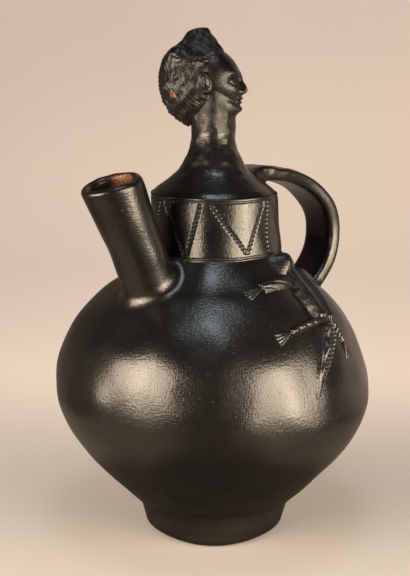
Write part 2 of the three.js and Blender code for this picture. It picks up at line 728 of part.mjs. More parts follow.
function hairForm(gap) {
  const size = [HAIR_LENGTH, HAIR_WIDTH, HAIR_HEIGHT].map((length) => length + 2 * gap);
  return pellet(point3(-HAIR_SETBACK, 0, -HAIR_DROP), size, 0, HAIR_FACETS);
}

/** Peaked crest: oval rings that draw in from the crown to a rounded top. */
function crestForm() {
  const crown = HEAD_HEIGHT / 4;
  const rings = CREST_LEVELS.map((level) => {
    const roundOff = level === 1 ? CREST_TOP_ROUNDING : 1;
    const length = roundOff * lerp(CREST_BASE_LENGTH, CREST_TOP_LENGTH, level);
    const width = roundOff * lerp(CREST_BASE_WIDTH, CREST_TOP_WIDTH, level);
    const height = lerp(crown, CREST_RISE, level);
    return Array.from({ length: CREST_SIDES }, (unused, side) => {
      const turn = 2 * Math.PI * side / CREST_SIDES;
      return point3(
        Math.cos(turn) * length / 2 - CREST_SETBACK,
        Math.sin(turn) * width / 2,
        height,
      );
    });
  });
  return loft(rings);
}

/** Ear: a domed oval with a hollow, standing off the side of the head. */
function earForm(side) {
  const place = headPoint(towards(-EAR_SETBACK, side, -EAR_DROP), 0);
  const shell = solid(pellet(place, [EAR_WIDTH, 2 * EAR_RELIEF, EAR_HEIGHT], -EAR_TAPER));
  const hollowPlace = place.clone().add(point3(EAR_WIDTH / 8, side * EAR_RELIEF, 0));
  return shell.subtract(solid(pellet(hollowPlace, [EAR_WIDTH / 2, EAR_RELIEF, EAR_HEIGHT / 2])));
}

function headPieces() {
  const headCut = solid(headForm(SLIP_GAP));
  const neckCut = solid(inFrameOf(headGroup, vesselFilled(SLIP_GAP)));
  const hairCut = solid(hairForm(SLIP_GAP));
  const noseCut = solid(noseForm(SLIP_GAP));
  const onFace = (form) => solid(form).subtract(headCut).subtract(noseCut);
  const pieces = [
    piece("head", solid(headForm(0)).subtract(solid(headHollow())), rubbedClay),
    piece("hair", solid(hairForm(0)).subtract(headCut).subtract(neckCut), rubbedClay),
    piece("crest", solid(crestForm()).subtract(headCut).subtract(hairCut), rubbedClay),
    piece("nose", solid(noseForm(0)).subtract(headCut), rubbedClay),
    piece("upper_lip", onFace(lipForm(1)), rubbedClay),
    piece("lower_lip", onFace(lipForm(-1)), rubbedClay),
  ];
  for (const [label, side] of Object.entries(SIDES)) {
    pieces.push(piece(`eye_${label}`, onFace(eyeForm(side)), rubbedClay));
    pieces.push(piece(`ear_${label}`, earForm(side).subtract(headCut).subtract(hairCut), rubbedClay));
  }
  return pieces;
}

/** Neck, hollow right up to the head, whose underside it carries. */
function neck() {
  const tube = turnedWall(neckLine(NECK_STEPS), insideOf(neckLine, NECK_STEPS), NECK_SIDES);
  return tube.subtract(solid(outOfFrame(headGroup, headForm(SLIP_GAP))));
}

// Lizard

/** Place on the outside at a lizard's degrees and share of the upper belly's height. */
const onBelly = ([degrees, drop]) => onOutside(radians(degrees), collarBase - drop * UPPER_BELLY_HEIGHT);

/** Smooth track over the jug's outside through a row of such places. */
function outsideTrack(stops) {
  const curve = new THREE.CatmullRomCurve3(stops.map((stop) => onBelly(stop).place));
  return (share) => {
    const near = curve.getPoint(share);
    return { ...onOutside(Math.atan2(near.y, near.x), near.z), along: curve.getTangent(share) };
  };
}

/** Round head laid under the collar. */
function lizardHead(gap) {
  const { place, normal } = onBelly(LIZARD_HEAD_PLACE);
  const across = point3(0, 0, 1).cross(normal).normalize();
  const upward = normal.clone().cross(across);
  return solid(shapedBall((direction) => place.clone()
    .addScaledVector(across, direction.x * (LIZARD_HEAD_WIDTH / 2 + gap))
    .addScaledVector(upward, direction.y * (LIZARD_HEAD_LENGTH / 2 + gap))
    .addScaledVector(normal, direction.z * (LIZARD_HEAD_RELIEF + gap)), KNOB_FACETS));
}

/** Track of one toe, straight on over the outside from the end of a leg. */
function toeTrack(legTrack, fan) {
  const { place, normal, along: way } = legTrack(1);
  const heading = way.clone().applyAxisAngle(normal, fan);
  return (share) => {
    const near = place.clone().addScaledVector(heading, (share - TOE_OVERLAP) * TOE_LENGTH);
    return { ...onOutside(Math.atan2(near.y, near.x), near.z), along: heading };
  };
}

/** Leg and its splayed toes as one piece. */
function lizardLeg({ width, track: stops }) {
  const track = outsideTrack(stops);
  const toe = { width: TOE_WIDTH, relief: TOE_RELIEF, form: TOE_FORM, facets: TOE_FACETS };
  let leg = roll(track, { width, relief: LIZARD_LEG_RELIEF, form: LEG_FORM, facets: LEG_FACETS });
  for (let k = 0; k < TOES_PER_FOOT; k += 1) {
    const fan = radians(TOE_SPREAD) * (k - (TOES_PER_FOOT - 1) / 2);
    leg = leg.add(roll(toeTrack(track, fan), toe));
  }
  return leg;
}

function lizardPieces() {
  const vessel = solid(vesselFilled(SLIP_GAP));
  const trunkTrack = outsideTrack(LIZARD_TRUNK_TRACK);
  const tailTrack = outsideTrack(LIZARD_TAIL_TRACK);
  const trunkSize = {
    width: LIZARD_TRUNK_WIDTH, relief: LIZARD_TRUNK_RELIEF, form: TRUNK_FORM, facets: TRUNK_FACETS,
  };
  const tailSize = {
    width: LIZARD_TAIL_WIDTH, relief: LIZARD_TAIL_RELIEF, form: TAIL_FORM, facets: TAIL_FACETS,
  };
  const headCut = lizardHead(SLIP_GAP);
  const trunkCut = roll(trunkTrack, trunkSize, SLIP_GAP);
  const tailCut = roll(tailTrack, tailSize, SLIP_GAP);
  const trunk = roll(trunkTrack, trunkSize).subtract(headCut);
  const tail = roll(tailTrack, tailSize).subtract(trunkCut);
  const pieces = [
    piece("lizard_head", lizardHead(0).subtract(vessel), rubbedClay),
    piece("lizard_trunk", trunk.subtract(vessel), rubbedClay),
    piece("lizard_tail", tail.subtract(vessel), rubbedClay),
  ];
  for (const [name, leg] of Object.entries(LIZARD_LEGS)) {
    const body = lizardLeg(leg).subtract(trunkCut).subtract(headCut).subtract(tailCut);
    pieces.push(piece(name, body.subtract(vessel), rubbedClay));
  }
  return pieces;
}

// Assembly

const jug = new THREE.Group();
jug.add(...vesselPieces(), ...lizardPieces());
spoutGroup.add(piece("spout", spout(), blackClay), piece("spout_coil", spoutCoil(), blackClay));
handleGroup.add(piece("handle", handle(), blackClay));
headGroup.add(...headPieces());
jug.add(spoutGroup, handleGroup, headGroup);

export default jug;
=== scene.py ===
"""A hand-built jug of smoke-blackened, burnished clay: its looks, its floor, its light and its camera.

The vessel is turned, the spout, the handle and the lizard are laid on it, and the head is modelled on its neck.
Metres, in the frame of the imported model: +Z is up and -X points at the handle.
"""

import logging
import math
from collections.abc import Callable, Iterator, Sequence
from contextlib import contextmanager
from dataclasses import dataclass, field
from enum import Enum
from functools import cached_property

import bpy
import numpy as np
from mathutils import Matrix, Vector


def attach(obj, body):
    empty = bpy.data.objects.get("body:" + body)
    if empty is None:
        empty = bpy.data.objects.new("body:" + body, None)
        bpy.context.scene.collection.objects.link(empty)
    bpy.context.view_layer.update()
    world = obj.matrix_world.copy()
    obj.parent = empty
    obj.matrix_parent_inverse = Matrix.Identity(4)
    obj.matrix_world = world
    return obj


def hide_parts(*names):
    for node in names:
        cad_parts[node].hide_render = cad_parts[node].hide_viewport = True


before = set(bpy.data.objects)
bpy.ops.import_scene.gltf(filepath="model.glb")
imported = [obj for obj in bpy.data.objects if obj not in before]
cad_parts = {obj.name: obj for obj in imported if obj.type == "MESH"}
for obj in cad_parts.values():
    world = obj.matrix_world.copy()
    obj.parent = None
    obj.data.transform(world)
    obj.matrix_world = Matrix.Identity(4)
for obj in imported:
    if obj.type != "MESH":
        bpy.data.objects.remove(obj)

LOG = logging.getLogger("jug")
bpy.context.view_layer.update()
BODY = "root"
MM = 0.001
WELD = 1e-6
VIEW_HEADING = math.radians(53)  # heading from the jug's axis to the camera
IMAGE_HEIGHT = 576
RIGHT = np.array([-math.sin(VIEW_HEADING), math.cos(VIEW_HEADING), 0.0])
TOWARDS = np.array([math.cos(VIEW_HEADING), math.sin(VIEW_HEADING), 0.0])
UP = np.array([0.0, 0.0, 1.0])

Piece = bpy.types.Object
Points = np.ndarray
Pair = tuple[float, float]
Triple = tuple[float, float, float]
Colour = tuple[float, float, float, float]
Table = tuple[Pair, ...]


class Slot(Enum):
    """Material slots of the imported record."""

    BURNISHED = "burnished_clay"
    FOOT = "foot_clay"
    FIGURE = "figure_clay"
    RELIEF = "relief_clay"


class Paint(Enum):
    """Attributes that a finish reads from a mesh."""

    # Bare red clay where the black is worn, and in the spout's bore also painted light.
    BARE_AND_PAINTED_LIGHT = "bare_clay_and_painted_light"
    CUT = "cut_clay"


def bezier(stops: Sequence[Sequence[float]], steps: int) -> Points:
    """Points along a Bezier curve of any degree.

    Args:
        stops: Control points.
        steps: Number of equal steps of the parameter.

    Returns:
        One row for each of the steps + 1 points.
    """
    share = np.linspace(0, 1, steps + 1)[:, None]
    layer = [np.asarray(stop, float) for stop in stops]
    while len(layer) > 1:
        layer = [(1 - share) * low + share * high for low, high in zip(layer, layer[1:])]
    return layer[0]


def smooth_step(value: Points, low: float, high: float) -> Points:
    """Rises smoothly from 0 at low to 1 at high."""
    share = np.clip((value - low) / (high - low), 0, 1)
    return share * share * (3 - 2 * share)


def bump(value: Points, middle: float, spread: float) -> Points:
    """A bell of height 1 about a middle."""
    return np.exp(-(((value - middle) / spread) ** 2))


def read(table: Table, value: Points) -> Points:
    """What a table of (value, result) rows gives at values."""
    return np.interp(value, *zip(*table))


def unit(vectors: Points) -> Points:
    """Vectors brought to length 1 along the last axis."""
    return vectors / np.linalg.norm(vectors, axis=-1, keepdims=True)


@dataclass(frozen=True)
class Band:
    """A soft band of clay, raised or hollow: its height, its middle and its spread."""

    height: float
    middle: float
    spread: float

    def at(self, value: Points) -> Points:
        """Height at places across the band."""
        return self.height * bump(value, self.middle, self.spread)


class Bench:
    """Modelling moves that every piece shares."""

    @staticmethod
    def deselect() -> None:
        """Leaves nothing selected."""
        bpy.ops.object.select_all(action="DESELECT")

    @staticmethod
    def choose(piece: Piece) -> None:
        """Makes a piece the only one selected, and the active one.

        Args:
            piece: Piece to choose.
        """
        Bench.deselect()
        piece.select_set(True)
        bpy.context.view_layer.objects.active = piece

    @staticmethod
    @contextmanager
    def editing(piece: Piece) -> Iterator[None]:
        """Edit mode on one piece with all of it selected.

        Args:
            piece: Piece to edit.

        Returns:
            A context, which goes back to object mode when it ends.
        """
        Bench.choose(piece)
        bpy.ops.object.mode_set(mode="EDIT")
        bpy.ops.mesh.select_all(action="SELECT")
        yield
        bpy.ops.object.mode_set(mode="OBJECT")

    @staticmethod
    def places(piece: Piece) -> Points:
        """Reads a piece's vertices.

        Args:
            piece: Piece to read.

        Returns:
            Rows of x, y and z.
        """
        flat = np.empty(3 * len(piece.data.vertices), np.float32)
        piece.data.vertices.foreach_get("co", flat)
        return flat.reshape(-1, 3).astype(float)

    @staticmethod
    def move(piece: Piece, places: Points) -> None:
        """Puts a piece's vertices at new places."""
        piece.data.vertices.foreach_set("co", places.astype(np.float32).ravel())
        piece.data.update()

    @staticmethod
    def paint(piece: Piece, name: Paint, values: Points) -> None:
        """Writes an attribute with a value for each vertex."""
        layer = piece.data.attributes.new(name.value, "FLOAT", "POINT")
        layer.data.foreach_set("value", values.astype(np.float32))

    @staticmethod
    def named(name: str) -> Piece:
        """Names the object that was just added."""
        bpy.context.object.name = bpy.context.object.data.name = name
        return bpy.context.object

    @staticmethod
    def turned(name: str, section: Points, steps: int) -> Piece:
        """Spins a closed section round the upright axis.

        Args:
            name: Name of the piece.
            section: Closed loop of (radius, height) rows.
            steps: Steps round the axis.

        Returns:
            The new piece.
        """
        Bench.deselect()
        bpy.ops.mesh.primitive_circle_add(vertices=len(section))
        piece = Bench.named(name)
        Bench.move(piece, np.column_stack([section[:, 0], np.zeros(len(section)), section[:, 1]]))
        with Bench.editing(piece):
            bpy.ops.mesh.spin(steps=steps, angle=2 * math.pi, center=(0, 0, 0), axis=(0, 0, 1))
            bpy.ops.mesh.select_all(action="SELECT")
            bpy.ops.mesh.remove_doubles(threshold=WELD)
            bpy.ops.mesh.normals_make_consistent(inside=False)
        return piece

    @staticmethod
    def sheet(name: str, lines: Points) -> Piece:
        """Lays a grid on lines of points.

        Args:
            name: Name of the piece.
            lines: Points as (lines, points along a line, 3).

        Returns:
            The new piece.
        """
        rows, columns = lines.shape[:2]
        Bench.deselect()
        bpy.ops.mesh.primitive_grid_add(x_subdivisions=columns - 1, y_subdivisions=rows - 1, size=2)
        piece = Bench.named(name)
        x, y, _ = Bench.places(piece).T
        column = np.rint((x + 1) / 2 * (columns - 1)).astype(int)
        row = np.rint((y + 1) / 2 * (rows - 1)).astype(int)
        Bench.move(piece, lines[row, column])
        return piece

    @staticmethod
    def skin(name: str, rings: Points, closed: bool = False) -> Piece:
        """Lays a grid on rings of points, welds its seam and fills its ends.

        Args:
            name: Name of the piece.
            rings: Points as (rings, points round a ring, 3).
            closed: Whether the last ring runs on into the first.

        Returns:
            The new piece.
        """
        loops = np.concatenate([rings, rings[:, :1]], axis=1)
        if closed:
            loops = np.concatenate([loops, loops[:1]], axis=0)
        piece = Bench.sheet(name, loops)
        with Bench.editing(piece):
            bpy.ops.mesh.remove_doubles(threshold=WELD)
            bpy.ops.mesh.select_all(action="SELECT")
            bpy.ops.mesh.fill_holes(sides=0)
            bpy.ops.mesh.normals_make_consistent(inside=False)
        return piece

    @staticmethod
    def ball(name: str, rounds: int) -> Piece:
        """A unit ball of nearly equal triangles, to be shaped.

        Args:
            name: Name of the piece.
            rounds: Rounds of subdivision.

        Returns:
            The new piece.
        """
        Bench.deselect()
        bpy.ops.mesh.primitive_ico_sphere_add(subdivisions=rounds, radius=1)
        return Bench.named(name)

    @staticmethod
    def modify(piece: Piece, kind: str, **settings: object) -> None:
        """Adds a modifier, sets it and applies it.

        Args:
            piece: Piece to modify.
            kind: Type of the modifier.
            settings: Its properties.
        """
        modifier = piece.modifiers.new(kind, kind)
        for key, value in settings.items():
            setattr(modifier, key, value)
        Bench.choose(piece)
        bpy.ops.object.modifier_apply(modifier=modifier.name)

    @staticmethod
    def weigh(piece: Piece, name: str, weights: Points) -> None:
        """Gives a piece a vertex group with these weights.

        Args:
            piece: Piece to weigh.
            name: Name of the group.
            weights: A weight for each vertex.
        """
        group = piece.vertex_groups.new(name=name)
        for index in np.flatnonzero(weights > 0):
            group.add([int(index)], float(weights[index]), "REPLACE")

    @staticmethod
    def press(piece: Piece, depth: Points) -> None:
        """Presses the surface in along its normals.

        Args:
            piece: Piece to press.
            depth: A depth for each vertex.
        """
        deepest = float(depth.max())
        Bench.weigh(piece, "pressed", depth / deepest)
        Bench.modify(piece, "DISPLACE", direction="NORMAL", mid_level=0.0, strength=-deepest, vertex_group="pressed")

    @staticmethod
    def joined(name: str, pieces: Sequence[Piece]) -> Piece:
        """Joins pieces into one object.

        Args:
            name: Name of the whole.
            pieces: Pieces to join.

        Returns:
            The first of them, which holds them all.
        """
        Bench.deselect()
        for piece in pieces:
            piece.select_set(True)
        bpy.context.view_layer.objects.active = pieces[0]
        bpy.ops.object.join()
        pieces[0].name = pieces[0].data.name = name
        return pieces[0]

    @staticmethod
    def kneaded(piece: Piece, grain: float, rounds: int) -> None:
        """Makes overlapping shells one skin of clay and softens it.

        Args:
            piece: Piece of one or more closed shells.
            grain: Size of the new faces.
            rounds: Rounds of smoothing.
        """
        Bench.modify(piece, "REMESH", mode="VOXEL", voxel_size=grain)
        Bench.modify(piece, "SMOOTH", factor=0.5, iterations=rounds)

    @staticmethod
    def shade(piece: Piece, angle: float = 50) -> None:
        """Smooth shading up to an angle in degrees."""
        Bench.choose(piece)
        bpy.ops.object.shade_smooth_by_angle(angle=math.radians(angle))


@dataclass(frozen=True)
class Outline:
    """Outer line of the jug, which every piece is made on."""

    wall: float = 7 * MM
    foot_height: float = 20.5 * MM
    foot_base_radius: float = 48.3 * MM
    foot_top_radius: float = 53 * MM
    belly_radius: float = 110.6 * MM
    belly_level: float = 104 * MM
    spring_angle: float = math.radians(46)
    spring_length: float = 34 * MM
    fullness: float = 28 * MM
    fairing_width: float = 18.7 * MM
    fairing_bend: float = 0.55  # share of the fairing's width from the collar to its bend
    collar_base: float = 199.5 * MM
    collar_base_radius: float = 46.6 * MM
    collar_top: float = 241.5 * MM
    collar_top_radius: float = 44.2 * MM
    shoulder_bend: Pair = (0.82, 0.58)  # shares of their width and height where they bend up
    neck_base: float = 266.5 * MM
    neck_root_radius: float = 19.5 * MM
    neck_pull: float = 0.88  # share of the bend that runs on into the neck
    neck_straight: float = 0.57  # share of the neck's height where it turns upright
    neck_top: float = 288.5 * MM
    neck_radius: float = 15.7 * MM
    head_middle: float = 317 * MM
    fine: int = 200  # steps of each line in the table
    touch: float = 0.05 * MM  # distance at which a point counts as on the outside

    def lower_belly(self, steps: int) -> Points:
        """Line from the foot to the widest ring.

        Args:
            steps: Number of steps along it.

        Returns:
            Rows of radius and height.
        """
        pull = self.spring_length * np.array([math.cos(self.spring_angle), math.sin(self.spring_angle)])
        start = np.array([self.foot_top_radius, self.foot_height])
        end = np.array([self.belly_radius, self.belly_level])
        return bezier([start, start + pull, end - [0, self.fullness], end], steps)

    def upper_belly(self, steps: int) -> Points:
        """Quarter ellipse from the widest ring, then a hollow curve up to the collar.

        Args:
            steps: Number of steps along the ellipse.

        Returns:
            Rows of radius and height.
        """
        height = self.collar_base - self.belly_level
        turn = math.acos((self.collar_base_radius + self.fairing_width) / self.belly_radius)
        angles = np.linspace(0, turn, steps + 1)
        dome = np.column_stack([self.belly_radius * np.cos(angles), self.belly_level + height * np.sin(angles)])
        rise = height * math.cos(turn) / (self.belly_radius * math.sin(turn))
        bent = self.fairing_bend * self.fairing_width
        bend = (self.collar_base_radius + bent, dome[-1, 1] + (self.fairing_width - bent) * rise)
        fairing = bezier([dome[-1], bend, (self.collar_base_radius, self.collar_base)], steps // 2)
        return np.vstack([dome, fairing[1:]])

    def collar(self, steps: int) -> Points:
        """Line of the upright collar.

        Args:
            steps: Number of steps along it.

        Returns:
            Rows of radius and height.
        """
        middle = (self.collar_top_radius, (self.collar_base + self.collar_top) / 2)
        end = (self.collar_top_radius, self.collar_top)
        return bezier([(self.collar_base_radius, self.collar_base), middle, end], steps)

    @property
    def neck_root(self) -> Points:
        """Place where the shoulders become the neck."""
        return np.array([self.neck_root_radius, self.neck_base])

    @property
    def bend(self) -> Points:
        """Place where the slope of the shoulders meets the slope of the neck."""
        start = np.array([self.collar_top_radius, self.collar_top])
        return start + np.array(self.shoulder_bend) * (self.neck_root - start)

    def shoulders(self, steps: int) -> Points:
        """Line of the figure's shoulders."""
        start = (self.collar_top_radius, self.collar_top)
        return bezier([start, self.bend, self.bend, self.neck_root], steps)

    def shoulders_inside(self, steps: int) -> Points:
        """Inner line of the shoulders, level before it turns up into the neck.

        Args:
            steps: Number of steps along it.

        Returns:
            Rows of radius and height.
        """
        start, bore = self.collar_top_radius - self.wall, self.neck_root_radius - self.wall
        level = [(radius, self.collar_top) for radius in (start, self.neck_root_radius, bore)]
        return bezier([*level, (bore, self.neck_base)], steps)

    def neck(self, steps: int) -> Points:
        """Line of the figure's neck.

        Args:
            steps: Number of steps along it.

        Returns:
            Rows of radius and height.
        """
        pull = self.neck_root + self.neck_pull * (self.neck_root - self.bend)
        upright = self.neck_base + self.neck_straight * (self.neck_top - self.neck_base)
        end = (self.neck_radius, self.neck_top)
        return bezier([self.neck_root, pull, (self.neck_radius, upright), end], steps)

    def inside(self, line: Points) -> Points:
        """The line one wall inside a line; its ends keep their height.

        Args:
            line: Rows of radius and height on the outside.

        Returns:
            The same rows on the inside.
        """
        along = unit(np.gradient(line, axis=0))
        moved = line + self.wall * np.column_stack([-along[:, 1], along[:, 0]])
        for end in (0, -1):
            moved[end] = line[end] - [self.wall / along[end, 1], 0]
        return moved

    @cached_property
    def table(self) -> tuple[Points, Points, Points]:
        """The whole outer line.

        Returns:
            Its heights, radii and slopes.
        """
        lines = [line(self.fine) for line in (self.lower_belly, self.upper_belly, self.collar, self.shoulders)]
        foot = np.array([[self.foot_base_radius, 0]])
        top = np.array([[self.neck_radius, self.head_middle]])
        whole = np.vstack([foot, *(line[:-1] for line in lines), self.neck(self.fine), top])
        radii, heights = whole.T
        return heights, radii, np.gradient(radii, heights)

    def radius(self, height: float | Points) -> float | Points:
        """Outer radius at a height."""
        heights, radii, _ = self.table
        return np.interp(height, heights, radii)

    def holds(self, points: Points) -> Points:
        """Which points lie on the outside."""
        return np.abs(np.hypot(points[:, 0], points[:, 1]) - self.radius(points[:, 2])) < self.touch

    def excess(self, points: Points) -> tuple[Points, Points]:
        """How far points stand outside the line.

        Args:
            points: Points anywhere off the axis.

        Returns:
            Their level distances, and which way those grow.
        """
        heights, radii, slopes = self.table
        x, y, z = np.moveaxis(points, -1, 0)
        radius = np.hypot(x, y)
        gradient = np.stack([x / radius, y / radius, -np.interp(z, heights, slopes)], axis=-1)
        return radius - np.interp(z, heights, radii), gradient

    def settle(self, points: Points) -> Points:
        """Points moved onto the outside along its normals.

        Args:
            points: Points near the outside.

        Returns:
            The moved points.
        """
        settled = np.array(points, float)
        for _ in range(6):
            excess, gradient = self.excess(settled)
            settled -= (excess / (gradient**2).sum(-1))[..., None] * gradient
        return settled

    def normal(self, points: Points) -> Points:
        """Outward normals at points of the outside."""
        return unit(self.excess(points)[1])

    def at(self, angle: float, height: float) -> Points:
        """Place on the outside at an angle and a height."""
        radius = self.radius(height)
        return np.array([radius * math.cos(angle), radius * math.sin(angle), height])


@dataclass
class PottersHand:
    """The jug's own unevenness, given to every piece alike so that joints stay closed."""

    width: float = 260 * MM
    height: float = 360 * MM
    # How far each level is pushed to the right, and how far its right edge sags, from the floor up
    sway: tuple[float, ...] = (0.8 * MM, 0.8 * MM, 0.0, -1.4 * MM, 1.0 * MM, 1.2 * MM, 0.0, 0.0, 0.0)
    sag: tuple[float, ...] = (0.0, 1.0 * MM, 2.0 * MM, 2.2 * MM, 0.8 * MM, 0.0, 0.0, 0.0, 0.0)
    unevenness: float = 3.2 * MM
    patch: float = 42 * MM
    rooted: float = 20 * MM  # height over the floor at which the unevenness is full
    dent_depth: float = 2.2 * MM
    dent_size: float = 11.5 * MM
    dents_from: Pair = (246 * MM, 264 * MM)  # heights between which the fingers' dents come in
    dents_to: Pair = (294 * MM, 302 * MM)  # and those between which they go
    cage: Piece = field(init=False)
    cloud: bpy.types.Texture = field(init=False)
    dents: bpy.types.Texture = field(init=False)

    def __post_init__(self) -> None:
        """Makes the lattice and the cloud that shape the pieces."""
        Bench.deselect()
        bpy.ops.object.add(type="LATTICE", location=(0, 0, self.height / 2))
        self.cage = bpy.context.object
        self.cage.scale = (self.width, self.width, self.height)
        lattice = self.cage.data
        lattice.points_u = lattice.points_v = 2
        lattice.points_w = len(self.sway)
        lattice.interpolation_type_u = lattice.interpolation_type_v = "KEY_LINEAR"
        lattice.interpolation_type_w = "KEY_CARDINAL"
        for index, point in enumerate(lattice.points):
            level = index // 4
            corner = np.array(point.co) * [self.width, self.width, self.height]
            drop = self.sag[level] * float(corner @ RIGHT) / (self.width / 2)
            push = self.sway[level] * RIGHT - [0, 0, drop]
            point.co_deform = corner / self.cage.scale + push / np.array(self.cage.scale)
        self.cloud = self.clouds("hand_unevenness", self.patch)
        self.dents = self.clouds("finger_dents", self.dent_size)
        bpy.context.view_layer.update()

    @staticmethod
    def clouds(name: str, size: float) -> bpy.types.Texture:
        """A cloud that pushes in all three directions, with puffs of one size.

        Args:
            name: Name of the texture.
            size: Size of its puffs.

        Returns:
            The texture.
        """
        cloud = bpy.data.textures.new(name, "CLOUDS")
        cloud.cloud_type = "COLOR"
        cloud.noise_scale = size
        cloud.noise_depth = 1
        return cloud

    def shape(self, piece: Piece) -> None:
        """Gives a piece the sway, sag and unevenness of the place where it is.

        Args:
            piece: Piece to shape.
        """
        level = Bench.places(piece)[:, 2]
        Bench.weigh(piece, "loose", smooth_step(level, 0, self.rooted))
        Bench.weigh(piece, "dented", smooth_step(level, *self.dents_from) * (1 - smooth_step(level, *self.dents_to)))
        Bench.modify(piece, "LATTICE", object=self.cage)
        pushes = (("loose", self.cloud, self.unevenness), ("dented", self.dents, self.dent_depth))
        for group, texture, strength in pushes:
            Bench.modify(
                piece, "DISPLACE", texture=texture, texture_coords="LOCAL", direction="RGB_TO_XYZ",
                mid_level=0.5, strength=strength, vertex_group=group,
            )
        piece.vertex_groups.clear()

    def put_away(self) -> None:
        """Removes the lattice and the clouds."""
        lattice = self.cage.data
        bpy.data.objects.remove(self.cage)
        bpy.data.lattices.remove(lattice)
        bpy.data.textures.remove(self.cloud)
        bpy.data.textures.remove(self.dents)


class Wire:
    """A shader value that takes part in Python expressions."""

    def __init__(self, graph: "Graph", socket: bpy.types.NodeSocket) -> None:
        """Wraps an output socket of a graph."""
        self.graph = graph
        self.socket = socket

    def _math(self, operation: str, first: "Wire | float", second: "Wire | float") -> "Wire":
        """Adds a Math node on two values."""
        return self.graph.add("ShaderNodeMath", {"operation": operation}, {0: first, 1: second})

    def __add__(self, other: "Wire | float") -> "Wire":
        """self + other."""
        return self._math("ADD", self, other)

    __radd__ = __add__

    def __sub__(self, other: "Wire | float") -> "Wire":
        """self - other."""
        return self._math("SUBTRACT", self, other)

    def __rsub__(self, other: "Wire | float") -> "Wire":
        """other - self."""
        return self._math("SUBTRACT", other, self)

    def __mul__(self, other: "Wire | float") -> "Wire":
        """self * other."""
        return self._math("MULTIPLY", self, other)

    __rmul__ = __mul__

    def between(self, low: float, high: float) -> "Wire":
        """Rises smoothly from 0 at low to 1 at high."""
        inputs = {"Value": self, "From Min": low, "From Max": high}
        return self.graph.add("ShaderNodeMapRange", {"interpolation_type": "SMOOTHSTEP"}, inputs)


class Graph:
    """A material's nodes."""

    def __init__(self, name: str) -> None:
        """Starts an empty material.

        Args:
            name: Name of the material.
        """
        self.material = bpy.data.materials.new(name)
        self.material.use_nodes = True
        self.tree = self.material.node_tree
        self.tree.nodes.clear()

    def add(
        self,
        kind: str,
        settings: dict[str, object] | None = None,
        inputs: dict[str | int, object] | None = None,
        output: str | int = 0,
    ) -> Wire | None:
        """Adds a node.

        Args:
            kind: Type of the node.
            settings: Its properties.
            inputs: Values or links of its sockets.
            output: Socket to return.

        Returns:
            The chosen output, or None where the node has none.
        """
        node = self.tree.nodes.new(kind)
        for key, value in (settings or {}).items():
            setattr(node, key, value)
        for key, value in (inputs or {}).items():
            if isinstance(value, Wire):
                self.tree.links.new(value.socket, node.inputs[key])
            else:
                node.inputs[key].default_value = value
        return Wire(self, node.outputs[output]) if len(node.outputs) else None

    def place(self, scale: Sequence[float], turn: Sequence[float] = (0, 0, 0)) -> Wire:
        """Object coordinates, turned and scaled."""
        here = self.add("ShaderNodeTexCoord", output="Object")
        return self.add("ShaderNodeMapping", {}, {"Vector": here, "Rotation": tuple(turn), "Scale": tuple(scale)})

    def noise(self, place: Wire, detail: float = 2.0, roughness: float = 0.5) -> Wire:
        """Cloudy values about a half."""
        inputs = {"Vector": place, "Scale": 1.0, "Detail": detail, "Roughness": roughness}
        return self.add("ShaderNodeTexNoise", {}, inputs)

    def mix(self, share: Wire, first: object, second: object) -> Wire:
        """A colour between two colours."""
        return self.add("ShaderNodeMix", {"data_type": "RGBA"}, {0: share, 6: first, 7: second}, output=2)

    def bump(self, height: Wire, depth: float, normal: Wire | None = None) -> Wire:
        """The surface's normal with a height of this depth on it, over another normal where there is one."""
        inputs = {"Height": height, "Strength": 1.0, "Distance": depth}
        return self.add("ShaderNodeBump", {}, inputs if normal is None else {**inputs, "Normal": normal})

    def attribute(self, name: Paint) -> Wire:
        """An attribute of the mesh."""
        return self.add("ShaderNodeAttribute", {"attribute_name": name.value}, output="Fac")

    def close(self, shader: Wire) -> bpy.types.Material:
        """Ends the graph in a shader and gives the material."""
        self.add("ShaderNodeOutputMaterial", {}, {"Surface": shader})
        return self.material


